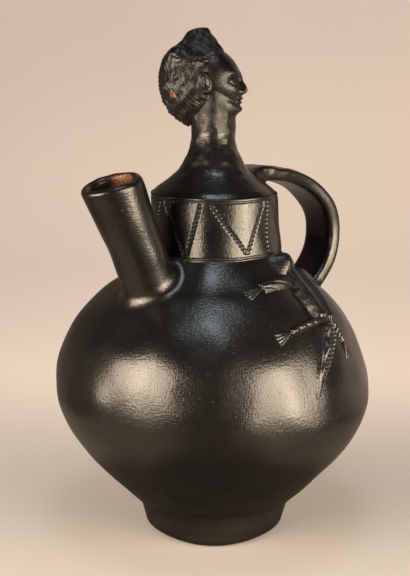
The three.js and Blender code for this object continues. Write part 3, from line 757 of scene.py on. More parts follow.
@dataclass(frozen=True)
class Clay:
    """Smoke-blackened clay, rubbed with a pebble before it was fired."""

    name: str
    slot: Slot
    black: Colour = (0.0022, 0.0022, 0.0022, 1)
    brown: Colour = (0.0050, 0.0040, 0.0032, 1)
    red: Colour = (0.45, 0.16, 0.05, 1)
    burnt: Colour = (0.06, 0.022, 0.010, 1)
    roughness: float = 0.20
    shine: float = 0.8
    haze: float = 0.38  # roughness of the clay that the pebble missed
    dullness: float = 0.36  # share of that clay
    smoke_dullness: float = 0.5  # how far the smoke's clouds change that share
    cut_dullness: float = 0.4  # what a cut adds to it
    streaking: float = 0.12
    bare_roughness: float = 0.5  # what bare clay adds to the roughness
    cut_roughness: float = 0.2  # what a cut adds to it
    stroke_depth: float = 0.25 * MM
    pit_depth: float = 0.08 * MM
    fineness: float = 1.0
    # The pebble's strokes: how often they repeat in a metre along x, y and z, and how they are turned
    level_strokes: tuple[Triple, Triple] = ((260, 260, 950), (0.3, 0.2, 0.0))
    upright_strokes: tuple[Triple, Triple] = ((900, 800, 340), (-0.5, 0.6, 0.3))
    stroke_noise: Pair = (3, 0.55)
    smoke_clouds: Triple = (22, 22, 30)
    smoke_edge: Pair = (0.35, 0.7)
    pits: Triple = (520, 520, 520)
    pit_edge: Pair = (0.20, 0.27)
    specks: Triple = (700, 700, 700)
    speck_edge: Pair = (0.35, 0.62)

    def material(self) -> bpy.types.Material:
        """Builds the finish: smoky colour, streaky gloss, strokes, pits, and red clay where the black is gone.

        Returns:
            The material.
        """
        graph = Graph(self.name)
        strokes, crossed = (
            graph.noise(graph.place([self.fineness * count for count in counts], turn), *self.stroke_noise)
            for counts, turn in (self.level_strokes, self.upright_strokes)
        )
        smoke = graph.noise(graph.place(self.smoke_clouds), 3)
        pits = 1 - graph.noise(graph.place(self.pits), 1).between(*self.pit_edge)
        speckle = graph.noise(graph.place(self.specks), 3).between(*self.speck_edge)
        # Bare red clay, and in the spout's bore painted light as well.
        bare = graph.attribute(Paint.BARE_AND_PAINTED_LIGHT)
        cut = graph.attribute(Paint.CUT)
        red = graph.mix(speckle, self.burnt, self.red)
        body = graph.mix(smoke.between(*self.smoke_edge), self.black, self.brown)
        colour = graph.mix(bare, body, red)
        rough = self.roughness + (smoke - 0.5) * self.streaking + (crossed - 0.5) * self.streaking
        rough = rough + (bare * self.bare_roughness + cut * self.cut_roughness)
        normal = graph.bump(strokes * 0.5 + crossed * 0.5, self.stroke_depth)
        normal = graph.bump(pits * -1.0, self.pit_depth, normal)
        rubbed = self.gloss(graph, colour, rough, normal)
        missed = self.gloss(graph, colour, rough + (self.haze - self.roughness), normal)
        share = self.dullness + (smoke - 0.5) * self.smoke_dullness + cut * self.cut_dullness
        return graph.close(graph.add("ShaderNodeMixShader", {}, {0: share, 1: rubbed, 2: missed}))

    def gloss(self, graph: Graph, colour: Wire, rough: Wire, normal: Wire) -> Wire:
        """The clay at one roughness."""
        inputs = {"Base Color": colour, "Roughness": rough, "Normal": normal, "Specular IOR Level": self.shine}
        return graph.add("ShaderNodeBsdfPrincipled", {}, inputs)


@dataclass(frozen=True)
class PaleGround:
    """Matt paper of the floor and backdrop: pale to the camera far behind the jug, with painted light and shade in
    its glow and in the jug's gloss.
    """

    name: str = "pale_ground"
    paper: Colour = (0.57, 0.55, 0.56, 1)
    shade: Colour = (0.065, 0.058, 0.054, 1)  # painted shade: the paper as the jug's gloss mirrors it, darker than the paper
    flank: Colour = (0.30, 0.26, 0.23, 1)  # painted sheen: a lighter paper that the jug's gloss mirrors close by at the jug's left and right
    painted_sheen_from: Pair = (0.008, 0.02)  # squares of the distances from the jug's axis between which that comes in
    painted_sheen_to: Pair = (0.05, 0.14)  # and those between which it goes
    painted_sheen_aside: Pair = (0.001, 0.009)  # squares of the distances to either side between which it comes in
    pale: Colour = (0.62, 0.475, 0.37, 1)
    black: Colour = (0, 0, 0, 1)
    roughness: float = 0.8
    clouds: Triple = (1.5, 1.5, 1.5)
    evenness: Triple = (0.86, 0.16, 0.12)  # paleness at the left, and what its clouds and the painted light at the right side add
    fade: Pair = (-0.10, 0.45)  # distances behind the jug between which the paleness comes in
    painted_top_shade: float = 0.16  # painted shade: share of the paleness that is gone at the backdrop's top
    painted_top_shade_heights: Pair = (0.05, 0.5)  # heights between which it goes
    reach: float = 0.6  # half width over which painted light makes the right side paler than the left
    mirrored: Pair = (0.25, 0.65)  # painted reflection: shares of the glow in the jug's gloss, at the left and added at the right

    def material(self) -> bpy.types.Material:
        """Builds the finish, with a faint cloud in its colour, and painted light, shade and reflections in its glow
        and in the jug's gloss.

        Returns:
            The material.
        """
        graph = Graph(self.name)
        here = graph.add("ShaderNodeTexCoord", output="Object")
        depth, side, height = (
            graph.add("ShaderNodeVectorMath", {"operation": "DOT_PRODUCT"}, {0: here, 1: tuple(way)}, "Value")
            for way in (-TOWARDS, RIGHT, UP)
        )
        cloud = graph.noise(graph.place(self.clouds), 1)
        seen = graph.add("ShaderNodeLightPath", output="Is Camera Ray")
        mirrored = graph.add("ShaderNodeLightPath", output="Is Glossy Ray")
        # Painted light: the glow grows paler towards the right, and painted shade dims it towards the top.
        right = side.between(-self.reach, self.reach)
        left_pale, cloud_pale, painted_right_light = self.evenness
        far = depth.between(*self.fade) * (left_pale + cloud * cloud_pale + right * painted_right_light)
        far = far * (1 - height.between(*self.painted_top_shade_heights) * self.painted_top_shade)
        # Painted reflection: the jug's gloss sees the glow too, stronger at the right.
        gloss = mirrored * (self.mirrored[0] + right * self.mirrored[1])
        glow_and_painted_light = graph.mix(far * (seen + gloss), self.black, self.pale)
        # Painted shade and painted sheen: the jug's gloss sees the paper dark near the jug, with a lighter ring at
        # its sides.
        aside = side * side
        away = aside + depth * depth
        ring = away.between(*self.painted_sheen_from) * (1 - away.between(*self.painted_sheen_to)) * aside.between(*self.painted_sheen_aside)
        inputs = {
            "Base Color": graph.mix(mirrored, self.paper, graph.mix(ring, self.shade, self.flank)),
            "Roughness": self.roughness,
            "Emission Color": glow_and_painted_light,
            "Emission Strength": 1.0,
        }
        return graph.close(graph.add("ShaderNodeBsdfPrincipled", {}, inputs))


@dataclass
class Dresser:
    """Gives finished pieces their finish, their place in the model and the CAD nodes that they stand for."""

    hand: PottersHand
    clays: dict[Slot, bpy.types.Material]

    def dress(self, piece: Piece, slot: Slot, *nodes: str, angle: float = 50) -> Piece:
        """Finishes a piece.

        Args:
            piece: Piece whose mesh is done but for the potter's unevenness.
            slot: Its slot in the record.
            nodes: CAD nodes that it replaces.
            angle: Angle in degrees up to which it is shaded smooth.

        Returns:
            The same piece.
        """
        self.hand.shape(piece)
        Bench.shade(piece, angle)
        piece.name = piece.data.name = f"fired_{nodes[0]}"
        piece.data.materials.clear()
        piece.data.materials.append(self.clays[slot])
        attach(piece, BODY)
        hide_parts(*nodes)
        LOG.info("%s stands for %s, %d faces", piece.name, ", ".join(nodes), len(piece.data.polygons))
        return piece


@dataclass
class Foot:
    """Ring that the jug stands on, smeared up onto the belly, and the disc that closes the bottom."""

    outline: Outline
    ring_width: float = 15 * MM
    edge: float = 7 * MM
    squareness: float = 1.1 * MM  # how far the hand-cut ring is from round
    smear: float = 7 * MM
    floor: float = 8 * MM
    slip: float = 0.3 * MM
    sunk: float = 1.2 * MM
    steps: int = 360
    edge_lean: float = 0.3  # share of the face's slope that is reached over the soft edge
    chip_heading: float = math.radians(73)
    chip_reach: float = 9 * MM
    chip_heights: Pair = (0.6 * MM, 3.2 * MM)  # heights between which the wear ends
    chip_waves: Triple = (1.7 / MM, 0.9 / MM, 2)  # turns of its ripple along the edge, and of the ripple's wander
    chip_edge: Pair = (0.3, 0.6)
    slab_bevel: float = 0.8 * MM

    def ring(self) -> Piece:
        """Turns the ring, with a soft resting edge that is worn to the red clay in places.

        Returns:
            The ring.
        """
        base = self.outline.foot_base_radius
        top = self.outline.foot_top_radius
        height = self.outline.foot_height
        rise = self.smear * math.sin(self.outline.spring_angle)
        end = (float(self.outline.radius(height + rise)), height + rise)
        face = base + (top - base) * (height - self.smear) / height
        rim = bezier([(base - self.edge, 0), (base, 0), (base + (face - base) * self.edge_lean, self.edge)], 10)
        outer = bezier([rim[-1], (face, height - self.smear)], 8)
        smear = bezier([outer[-1], (top, height), end], 14)
        under = [(end[0] - self.sunk, end[1]), (top - self.sunk, height), (top - self.ring_width, height)]
        inner = bezier([under[-1], (base - self.ring_width, self.edge), (base - self.ring_width + self.edge, 0)], 10)
        section = np.vstack([rim, outer[1:], smear[1:], under, inner[1:]])
        ring = Bench.turned("foot_ring", section, self.steps)
        x, y, z = Bench.places(ring).T
        heading = np.arctan2(y, x)
        uneven = self.squareness * np.cos(4 * (heading - VIEW_HEADING)) * (1 - smooth_step(z, 0, height))
        Bench.move(ring, np.column_stack([x + uneven * np.cos(heading), y + uneven * np.sin(heading), z]))
        turn = np.angle(np.exp(1j * (heading - self.chip_heading))) * base
        worn = bump(turn, 0, self.chip_reach) * (1 - smooth_step(z, *self.chip_heights))
        ripple, wander, wide = self.chip_waves
        worn *= 0.5 + 0.5 * np.sin(turn * ripple + np.sin(turn * wander) * wide)
        Bench.paint(ring, Paint.BARE_AND_PAINTED_LIGHT, smooth_step(worn, *self.chip_edge))
        return ring

    def slab(self) -> Piece:
        """Turns the disc inside the belly's bottom edge.

        Returns:
            The disc.
        """
        line = self.outline.inside(self.outline.lower_belly(40))
        level = self.outline.foot_height
        rim = line[0, 0] - self.slip
        top = np.interp(level + self.floor, line[:, 1], line[:, 0]) - self.slip
        section = [(0, level), (rim, level), (top, level + self.floor), (0, level + self.floor)]
        slab = Bench.turned("floor_slab", np.array(section), self.steps // 3)
        Bench.modify(slab, "BEVEL", width=self.slab_bevel, segments=2, limit_method="ANGLE")
        return slab

    def build(self, dresser: Dresser) -> None:
        """Makes and dresses both pieces."""
        dresser.dress(self.ring(), Slot.FOOT, "foot_ring")
        dresser.dress(self.slab(), Slot.FOOT, "floor_slab")


@dataclass
class Belly:
    """Two coiled halves, the upper one pierced for the spout."""

    outline: Outline
    steps: int = 240
    rows: int = 46

    def half(self, name: str, line: Callable[[int], Points]) -> Piece:
        """Turns one half of the belly along its line.

        Args:
            name: Name of the piece.
            line: Outer line with a given number of steps.

        Returns:
            The half.
        """
        outer = line(self.rows)
        inner = self.outline.inside(line(self.rows // 2))
        return Bench.turned(name, np.vstack([outer, inner[::-1]]), self.steps)

    def build(self, dresser: Dresser, spout: "Spout") -> None:
        """Makes, pierces and dresses both halves.

        Args:
            dresser: Dresser of the pieces.
            spout: Spout that goes through the upper half.
        """
        lower = self.half("lower_belly", self.outline.lower_belly)
        upper = self.half("upper_belly", self.outline.upper_belly)
        spout.pierce(upper)
        dresser.dress(lower, Slot.BURNISHED, "lower_belly")
        dresser.dress(upper, Slot.BURNISHED, "upper_belly")


@dataclass(frozen=True)
class Cord:
    """A twisted cord pressed into the collar along a straight line, as (degrees round, height) ends."""

    start: Pair
    end: Pair
    lean: float = 1.0  # which way its strands run, and how steeply


@dataclass
class Collar:
    """Upright band with two incised borders and a row of Vs pressed with a twisted cord."""

    outline: Outline
    steps: int = 500
    rows: int = 72
    inner_rows: int = 8
    rim_rows: int = 6
    rim: float = 0.9 * MM  # radius of the rounded top edge
    base_fade: float = 0.8 * MM  # height over the belly at which marks are full
    border_insets: Pair = (1.6 * MM, 2.4 * MM)
    border_width: float = 0.5 * MM
    border_depth: float = 0.6 * MM
    # Wander of the borders: height, waves round the jug and phase
    border_waves: tuple[Triple, ...] = ((0.2 * MM, 5, 0), (0.15 * MM, 11, 1))
    cord_reach: float = 1.6 * MM
    cord_flat: float = 0.55  # share of the reach over which a mark is deepest
    cord_end: Pair = (-1 * MM, 0.4 * MM)  # places along a cord between which its mark begins
    cord_pitch: float = 3.1 * MM
    cord_depth: float = 1.0 * MM
    cord_shallow: float = 0.15  # share of the depth that is left between two strands
    strand: Pair = (-0.4, 0.6)  # values of the twist's wave between which a strand comes in
    low: float = 204 * MM
    high: float = 237.5 * MM
    # Left end, point and right end of each V, degrees round the jug
    points: tuple[Triple, ...] = (
        (5, 26, 40.4), (50, 79, 99), (111.8, 138, 161), (166, 190, 212),
        (217, 241, 262), (267, 291, 312), (317, 341, 360),
    )
    point_gap: float = 1.5  # degrees between the two limbs at the point
    upright: float = 103.7
    upright_tilt: float = 0.6  # degrees between its ends
    upright_lean: float = 0.4

    @property
    def borders(self) -> Pair:
        """Heights of the two borders."""
        return self.outline.collar_base + self.border_insets[0], self.outline.collar_top - self.border_insets[1]

    def cords(self) -> list[Cord]:
        """Lays out the cords.

        Returns:
            Both limbs of every V, and the one upright line.
        """
        limbs = []
        for left, point, right in self.points:
            limbs.append(Cord((left, self.high), (point, self.low), -1.0))
            limbs.append(Cord((right, self.high), (point + self.point_gap, self.low), 1.0))
        foot = (self.upright - self.upright_tilt, self.low)
        return [*limbs, Cord((self.upright, self.high), foot, self.upright_lean)]

    def cord_marks(self, angle: Points, height: Points) -> Points:
        """Depth of the cord marks at places of the wall.

        Args:
            angle: Degrees round the jug, 0 to 360.
            height: Heights of the same places.

        Returns:
            Depths, 0 away from the cords.
        """
        depth = np.zeros_like(angle)
        arc = math.radians(self.outline.collar_top_radius)
        for cord in self.cords():
            run = np.array([(cord.end[0] - cord.start[0]) * arc, cord.end[1] - cord.start[1]])
            length = float(np.linalg.norm(run))
            along = run / length
            turn = (angle - cord.start[0] + 180) % 360 - 180
            across_turn, across_height = turn * arc, height - cord.start[1]
            forward = across_turn * along[0] + across_height * along[1]
            aside = across_height * along[0] - across_turn * along[1]
            begin, full = self.cord_end
            inside = smooth_step(forward, begin, full) * (1 - smooth_step(forward, length - full, length - begin))
            band = 1 - smooth_step(np.abs(aside), self.cord_flat * self.cord_reach, self.cord_reach)
            twist = np.cos(2 * math.pi * (forward + cord.lean * aside) / self.cord_pitch)
            strands = self.cord_shallow + (1 - self.cord_shallow) * smooth_step(twist, *self.strand)
            depth = np.maximum(depth, inside * band * self.cord_depth * strands)
        return depth

    def build(self, dresser: Dresser) -> None:
        """Turns the band, presses its marks and dresses it.

        Args:
            dresser: Dresser of the piece.
        """
        outer = self.outline.collar(self.rows)
        share = np.linspace(0, 1, self.rim_rows + 1)[:-1, None]
        outer = np.vstack([outer[:-2], outer[-2] + (outer[-1] - outer[-2]) * share, outer[-1:]])
        inner = self.outline.inside(self.outline.collar(self.inner_rows))
        collar = Bench.turned("collar", np.vstack([outer, inner[::-1]]), self.steps)
        places = Bench.places(collar)
        outside = self.outline.holds(places)
        x, y, z = places.T
        base, top = self.outline.collar_base, self.outline.collar_top
        angle = np.degrees(np.arctan2(y, x)) % 360
        wander = sum(high * np.sin(np.radians(angle) * waves + phase) for high, waves, phase in self.border_waves)
        low, high = (bump(z + wander, line, self.border_width) for line in self.borders)
        depth = np.maximum(np.maximum(low, high) * self.border_depth, self.cord_marks(angle, z))
        depth *= smooth_step(z, base, base + self.base_fade)
        climb = np.clip((z - top) / self.rim + 1, 0, 1)
        depth = np.where(outside, depth + self.rim * (1 - np.sqrt(1 - climb**2)), 0)
        Bench.press(collar, depth)
        Bench.paint(collar, Paint.CUT, depth / self.cord_depth)
        dresser.dress(collar, Slot.BURNISHED, "collar", angle=80)


@dataclass
class Shoulders:
    """The figure's shoulders and neck."""

    outline: Outline
    steps: int = 200
    rows: int = 80
    inner_rows: int = 14
    neck_rows: int = 24
    bore_rows: int = 10
    setback: float = 0.9 * MM  # how far their foot stands in from the collar's face
    spread: float = 3.0 * MM  # height over the collar at which that is gone

    def build(self, dresser: Dresser) -> None:
        """Turns and dresses both pieces.

        Args:
            dresser: Dresser of the pieces.
        """
        outer = self.outline.shoulders(self.rows)
        inner = self.outline.shoulders_inside(self.inner_rows)
        shoulders = Bench.turned("shoulders", np.vstack([outer, inner[::-1]]), self.steps)
        places = Bench.places(shoulders)
        climb = smooth_step(places[:, 2] - self.outline.collar_top, 0, self.spread)
        Bench.press(shoulders, np.where(self.outline.holds(places), self.setback * (1 - climb), 0))
        line = self.outline.neck(self.neck_rows)
        bore = self.outline.inside(self.outline.neck(self.bore_rows))
        neck = Bench.turned("figure_neck", np.vstack([line, bore[::-1]]), self.steps // 2)
        dresser.dress(shoulders, Slot.BURNISHED, "shoulders")
        dresser.dress(neck, Slot.BURNISHED, "figure_neck")


def fillet(start: Points, corner: Points, end: Points, rows: int) -> list[Points]:
    """Rings of a hollow curve that leaves start towards corner and comes into end.

    Args:
        start: Ring where the curve begins.
        corner: Ring of the sharp corner that it rounds.
        end: Ring where it ends.
        rows: Number of steps.

    Returns:
        rows + 1 rings.
    """
    shares = np.linspace(0, 1, rows + 1)
    return [(1 - s) ** 2 * start + 2 * s * (1 - s) * corner + s * s * end for s in shares]


@dataclass
class Spout:
    """Slanting tube with a rounded lip, and the coil smoothed into the corner round its root."""

    outline: Outline
    heading: float = math.radians(8.5)
    lean: float = math.radians(25)
    mouth_tilt: float = math.radians(15)
    drop: float = 15.2 * MM
    length: float = 76.7 * MM
    root_radius: float = 18 * MM
    mouth_radius: float = 19.4 * MM
    bore_radius: float = 12.6 * MM
    coil_reach: float = 9 * MM
    sunk: float = 1.2 * MM
    sides: int = 160
    wall_rows: int = 55
    lip_rows: int = 13
    bore_rows: int = 39
    coil_rows: int = 16
    levelling: Pair = (0.35, 0.95)  # shares of the length between which the rings turn to the mouth's tilt
    search: Pair = (-40 * MM, 50 * MM)  # heights between which the tube meets the vessel
    halvings: int = 40
    cutter: Pair = (-60 * MM, 20 * MM)  # heights of the ends of the bore's cutter
    lit: Pair = (-5 * MM, 4 * MM)  # places across the bore between which painted light brings out its red clay
    lit_edge: Pair = (0.8 * MM, 2.4 * MM)  # distances from the bore's wall between which that ends on the lip
    red_clay_and_painted_light: Pair = (0.06, 0.5)  # share of red clay all round, and the painted light that the lit side adds
    red_depth: float = 34 * MM  # depth at which the bore is black

    def __post_init__(self) -> None:
        """Sets up the spout's own frame."""
        turn = Matrix.Rotation(self.heading, 3, "Z") @ Matrix.Rotation(self.lean, 3, "Y")
        self.out, self.side, self.axis = (np.array(turn.col[k]) for k in range(3))
        self.base = self.outline.at(self.heading, self.outline.collar_base - self.drop)
        angles = np.linspace(0, 2 * math.pi, self.sides, endpoint=False)
        self.reach = np.cos(angles)
        self.spokes = np.outer(self.reach, self.out) + np.outer(np.sin(angles), self.side)

    def ring(self, height: float | Points, radius: float | Points) -> Points:
        """Ring of the tube, which turns to the mouth's tilt as it climbs.

        Args:
            height: Height along the tube, or one for each spoke.
            radius: Radius, the same way.

        Returns:
            Its points.
        """
        heights = np.broadcast_to(height, self.sides)
        level = math.tan(self.lean - self.mouth_tilt) * smooth_step(heights / self.length, *self.levelling)
        heights = heights + level * radius * self.reach
        radii = np.broadcast_to(radius, self.sides)[:, None]
        return self.base + heights[:, None] * self.axis + radii * self.spokes

    def outer_radius(self, height: float | Points) -> float | Points:
        """Outer radius of the tube at a height.

        Args:
            height: Height along the tube.

        Returns:
            The radius there.
        """
        mouth = (self.mouth_radius, self.length - self.lip)
        radii, heights = bezier([(self.root_radius, 0), (self.root_radius, self.length / 2), mouth], 40).T
        return np.interp(height, heights, radii)

    @property
    def lip(self) -> float:
        """Radius of the rounded lip."""
        return (self.mouth_radius - self.bore_radius) / 2

    def meeting(self, radius: float, depth: float = 0.0) -> Points:
        """Where the spokes of a tube go into the vessel.

        Args:
            radius: Radius of the tube.
            depth: Depth below the vessel's outside.

        Returns:
            A height for each spoke.
        """
        low, high = (np.full(self.sides, end) for end in self.search)
        for _ in range(self.halvings):
            middle = (low + high) / 2
            outside = self.outline.excess(self.ring(middle, radius))[0] + depth > 0
            high = np.where(outside, middle, high)
            low = np.where(outside, low, middle)
        return (low + high) / 2

    def pierce(self, wall: Piece) -> None:
        """Cuts the bore through the belly's wall.

        Args:
            wall: Upper half of the belly.
        """
        rings = np.stack([self.ring(height, self.bore_radius) for height in np.linspace(*self.cutter, 4)])
        cutter = Bench.skin("bore_cutter", rings)
        Bench.modify(wall, "BOOLEAN", object=cutter, operation="DIFFERENCE", solver="EXACT")
        mesh = cutter.data
        bpy.data.objects.remove(cutter)
        bpy.data.meshes.remove(mesh)

    def tube(self) -> Piece:
        """Skins the tube up its outside, over the lip and down its bore.

        Returns:
            The tube.
        """
        root = self.meeting(self.root_radius, self.sunk)
        top = self.length - self.lip
        rings = []
        for share in np.linspace(0, 1, self.wall_rows + 1):
            height = root + share * (top - root)
            rings.append(self.ring(height, self.outer_radius(height)))
        for turn in np.linspace(0, math.pi, self.lip_rows + 1)[1:]:
            radius = self.bore_radius + self.lip * (1 + math.cos(turn))
            rings.append(self.ring(top + self.lip * math.sin(turn), radius))
        end = self.meeting(self.bore_radius, self.sunk)
        for share in np.linspace(0, 1, self.bore_rows + 1)[1:]:
            rings.append(self.ring(top + share * (end - top), self.bore_radius))
        tube = Bench.skin("spout", np.stack(rings), closed=True)
        offset = Bench.places(tube) - self.base
        height = offset @ self.axis
        across = offset - np.outer(height, self.axis)
        # The bore's red clay, with painted light that brings it out on the right side, fading to black deeper down.
        inner = 1 - smooth_step(np.linalg.norm(across, axis=1) - self.bore_radius, *self.lit_edge)
        near_mouth = smooth_step(height, self.length - self.red_depth, self.length - self.red_depth / 3)
        red = self.red_clay_and_painted_light[0] + self.red_clay_and_painted_light[1] * smooth_step(across @ RIGHT, *self.lit)
        Bench.paint(tube, Paint.BARE_AND_PAINTED_LIGHT, inner * near_mouth * red)
        return tube

    def coil(self) -> Piece:
        """Skins the coil: a hollow curve from the tube out onto the belly.

        Returns:
            The coil.
        """
        height = self.meeting(self.root_radius)
        corner = self.ring(height, self.root_radius)
        start = self.ring(height + self.coil_reach, self.outer_radius(height + self.coil_reach))
        normal = self.outline.normal(corner)
        away = self.spokes - (self.spokes * normal).sum(1)[:, None] * normal
        end = self.outline.settle(corner + self.coil_reach * unit(away))
        rings = fillet(start, corner, end, self.coil_rows)
        under = end - self.sunk * self.outline.normal(end)
        hidden = corner - self.sunk * normal - self.sunk * self.spokes
        rings += [under, hidden, start - self.sunk * self.spokes]
        return Bench.skin("spout_coil", np.stack(rings), closed=True)

    def build(self, dresser: Dresser) -> None:
        """Makes and dresses both pieces."""
        dresser.dress(self.tube(), Slot.BURNISHED, "spout")
        dresser.dress(self.coil(), Slot.BURNISHED, "spout_coil")


@dataclass
class Handle:
    """Strap from the shoulders out, round and down to the belly, with spread roots."""

    outline: Outline
    heading: float = math.pi
    width: float = 32 * MM
    thickness: float = 10.5 * MM
    squareness: Pair = (0.32, 0.6)  # powers that square off the strap's section, across and through
    slant: float = -0.13  # how much narrower the inner face of the strap is than its back
    flare: Pair = (0.08, 6)  # how much wider the ends are, and how suddenly
    top_rise: float = 10.5 * MM
    foot_drop: float = 33 * MM
    top_pull: Pair = (43 * MM, 10 * MM)
    foot_pull: Pair = (60 * MM, 49 * MM)
    root_reach: float = 7 * MM
    root_rows: int = 14
    rows: int = 89
    rounds: int = 6  # rounds of smoothing
    sunk: float = 2 * MM
    sides: int = 72
    fine: int = 400

    @staticmethod
    def squared(wave: Points, power: float) -> Points:
        """A wave from -1 to 1 with its flanks made steeper."""
        return np.sign(wave) * np.abs(wave) ** power

    def strap(self) -> Points:
        """Bends the strap from inside the shoulders to inside the belly.

        Returns:
            Its rings of points.
        """
        top_height = self.outline.collar_top + self.top_rise
        foot_height = self.outline.collar_base - self.foot_drop
        half_wall = self.outline.wall / 2
        top = np.array([self.outline.radius(top_height) - half_wall, 0, top_height])
        foot = np.array([self.outline.radius(foot_height) - half_wall, 0, foot_height])
        rise = np.array([self.top_pull[0], 0, self.top_pull[1]])
        pull = np.array([self.foot_pull[0], 0, self.foot_pull[1]])
        middle = bezier([top, top + rise, foot + pull, foot], self.fine)
        along = unit(np.gradient(middle, axis=0))
        across = np.array([0.0, 1.0, 0.0])
        inward = np.cross(across, along)
        share = np.linspace(-1, 1, self.fine + 1)
        flare = (1 + self.flare[0] * share ** self.flare[1])[:, None, None]
        turn = np.linspace(0, 2 * math.pi, self.sides, endpoint=False)
        wide = self.squared(np.cos(turn), self.squareness[0]) * self.width / 2
        thick = self.squared(np.sin(turn), self.squareness[1]) * self.thickness / 2
        wide = wide * (1 + self.slant * thick / self.thickness)
        section = wide[None, :, None] * across + thick[None, :, None] * inward[:, None, :]
        rings = middle[:, None, :] + flare * section
        spin = np.array(Matrix.Rotation(self.heading, 3, "Z"))
        return rings @ spin.T

    def root(self, rings: Points) -> tuple[list[Points], Points]:
        """Spreads the strap's first end onto the vessel.

        Args:
            rings: Rings of the strap, the first of them inside the vessel.

        Returns:
            The root's rings from the vessel out, and where each side of the strap leaves the root.
        """
        outside = self.outline.excess(rings)[0] > 0
        first = np.argmax(outside, axis=0)
        lengths = np.linalg.norm(np.diff(rings, axis=0), axis=2).cumsum(axis=0)
        sides = np.arange(self.sides)
        leave = np.argmax(lengths > lengths[first, sides] + self.root_reach, axis=0)
        corner = rings[first, sides]
        middle = rings[first].mean(axis=1)
        normal = self.outline.normal(corner)
        away = corner - middle
        away -= (away * normal).sum(1)[:, None] * normal
        end = self.outline.settle(corner + self.root_reach * unit(away))
        curve = fillet(end, corner, rings[leave, sides], self.root_rows)
        return [end - self.sunk * self.outline.normal(end), *curve], leave

    def build(self, dresser: Dresser) -> None:
        """Makes and dresses the strap.

        Args:
            dresser: Dresser of the piece.
        """
        rings = self.strap()
        top, start = self.root(rings)
        foot, stop = self.root(rings[::-1])
        stop = self.fine - stop
        sides = np.arange(self.sides)
        between = []
        for share in np.linspace(0, 1, self.rows + 1)[1:-1]:
            index = np.rint(start + share * (stop - start)).astype(int)
            between.append(rings[index, sides])
        handle = Bench.skin("handle", np.stack([*top, *between, *foot[::-1]]))
        Bench.modify(handle, "SMOOTH", factor=0.5, iterations=self.rounds)
        dresser.dress(handle, Slot.BURNISHED, "handle")


@dataclass(frozen=True)
class Leg:
    """A leg of the lizard: its track, its size, and the pitch, lean and depth of its slashes, in millimetres."""

    name: str
    track: Table
    breadth: float
    height: float
    pitch: float
    lean: float  # turns of the slashes' wave from the leg's middle to its side
    cut: float


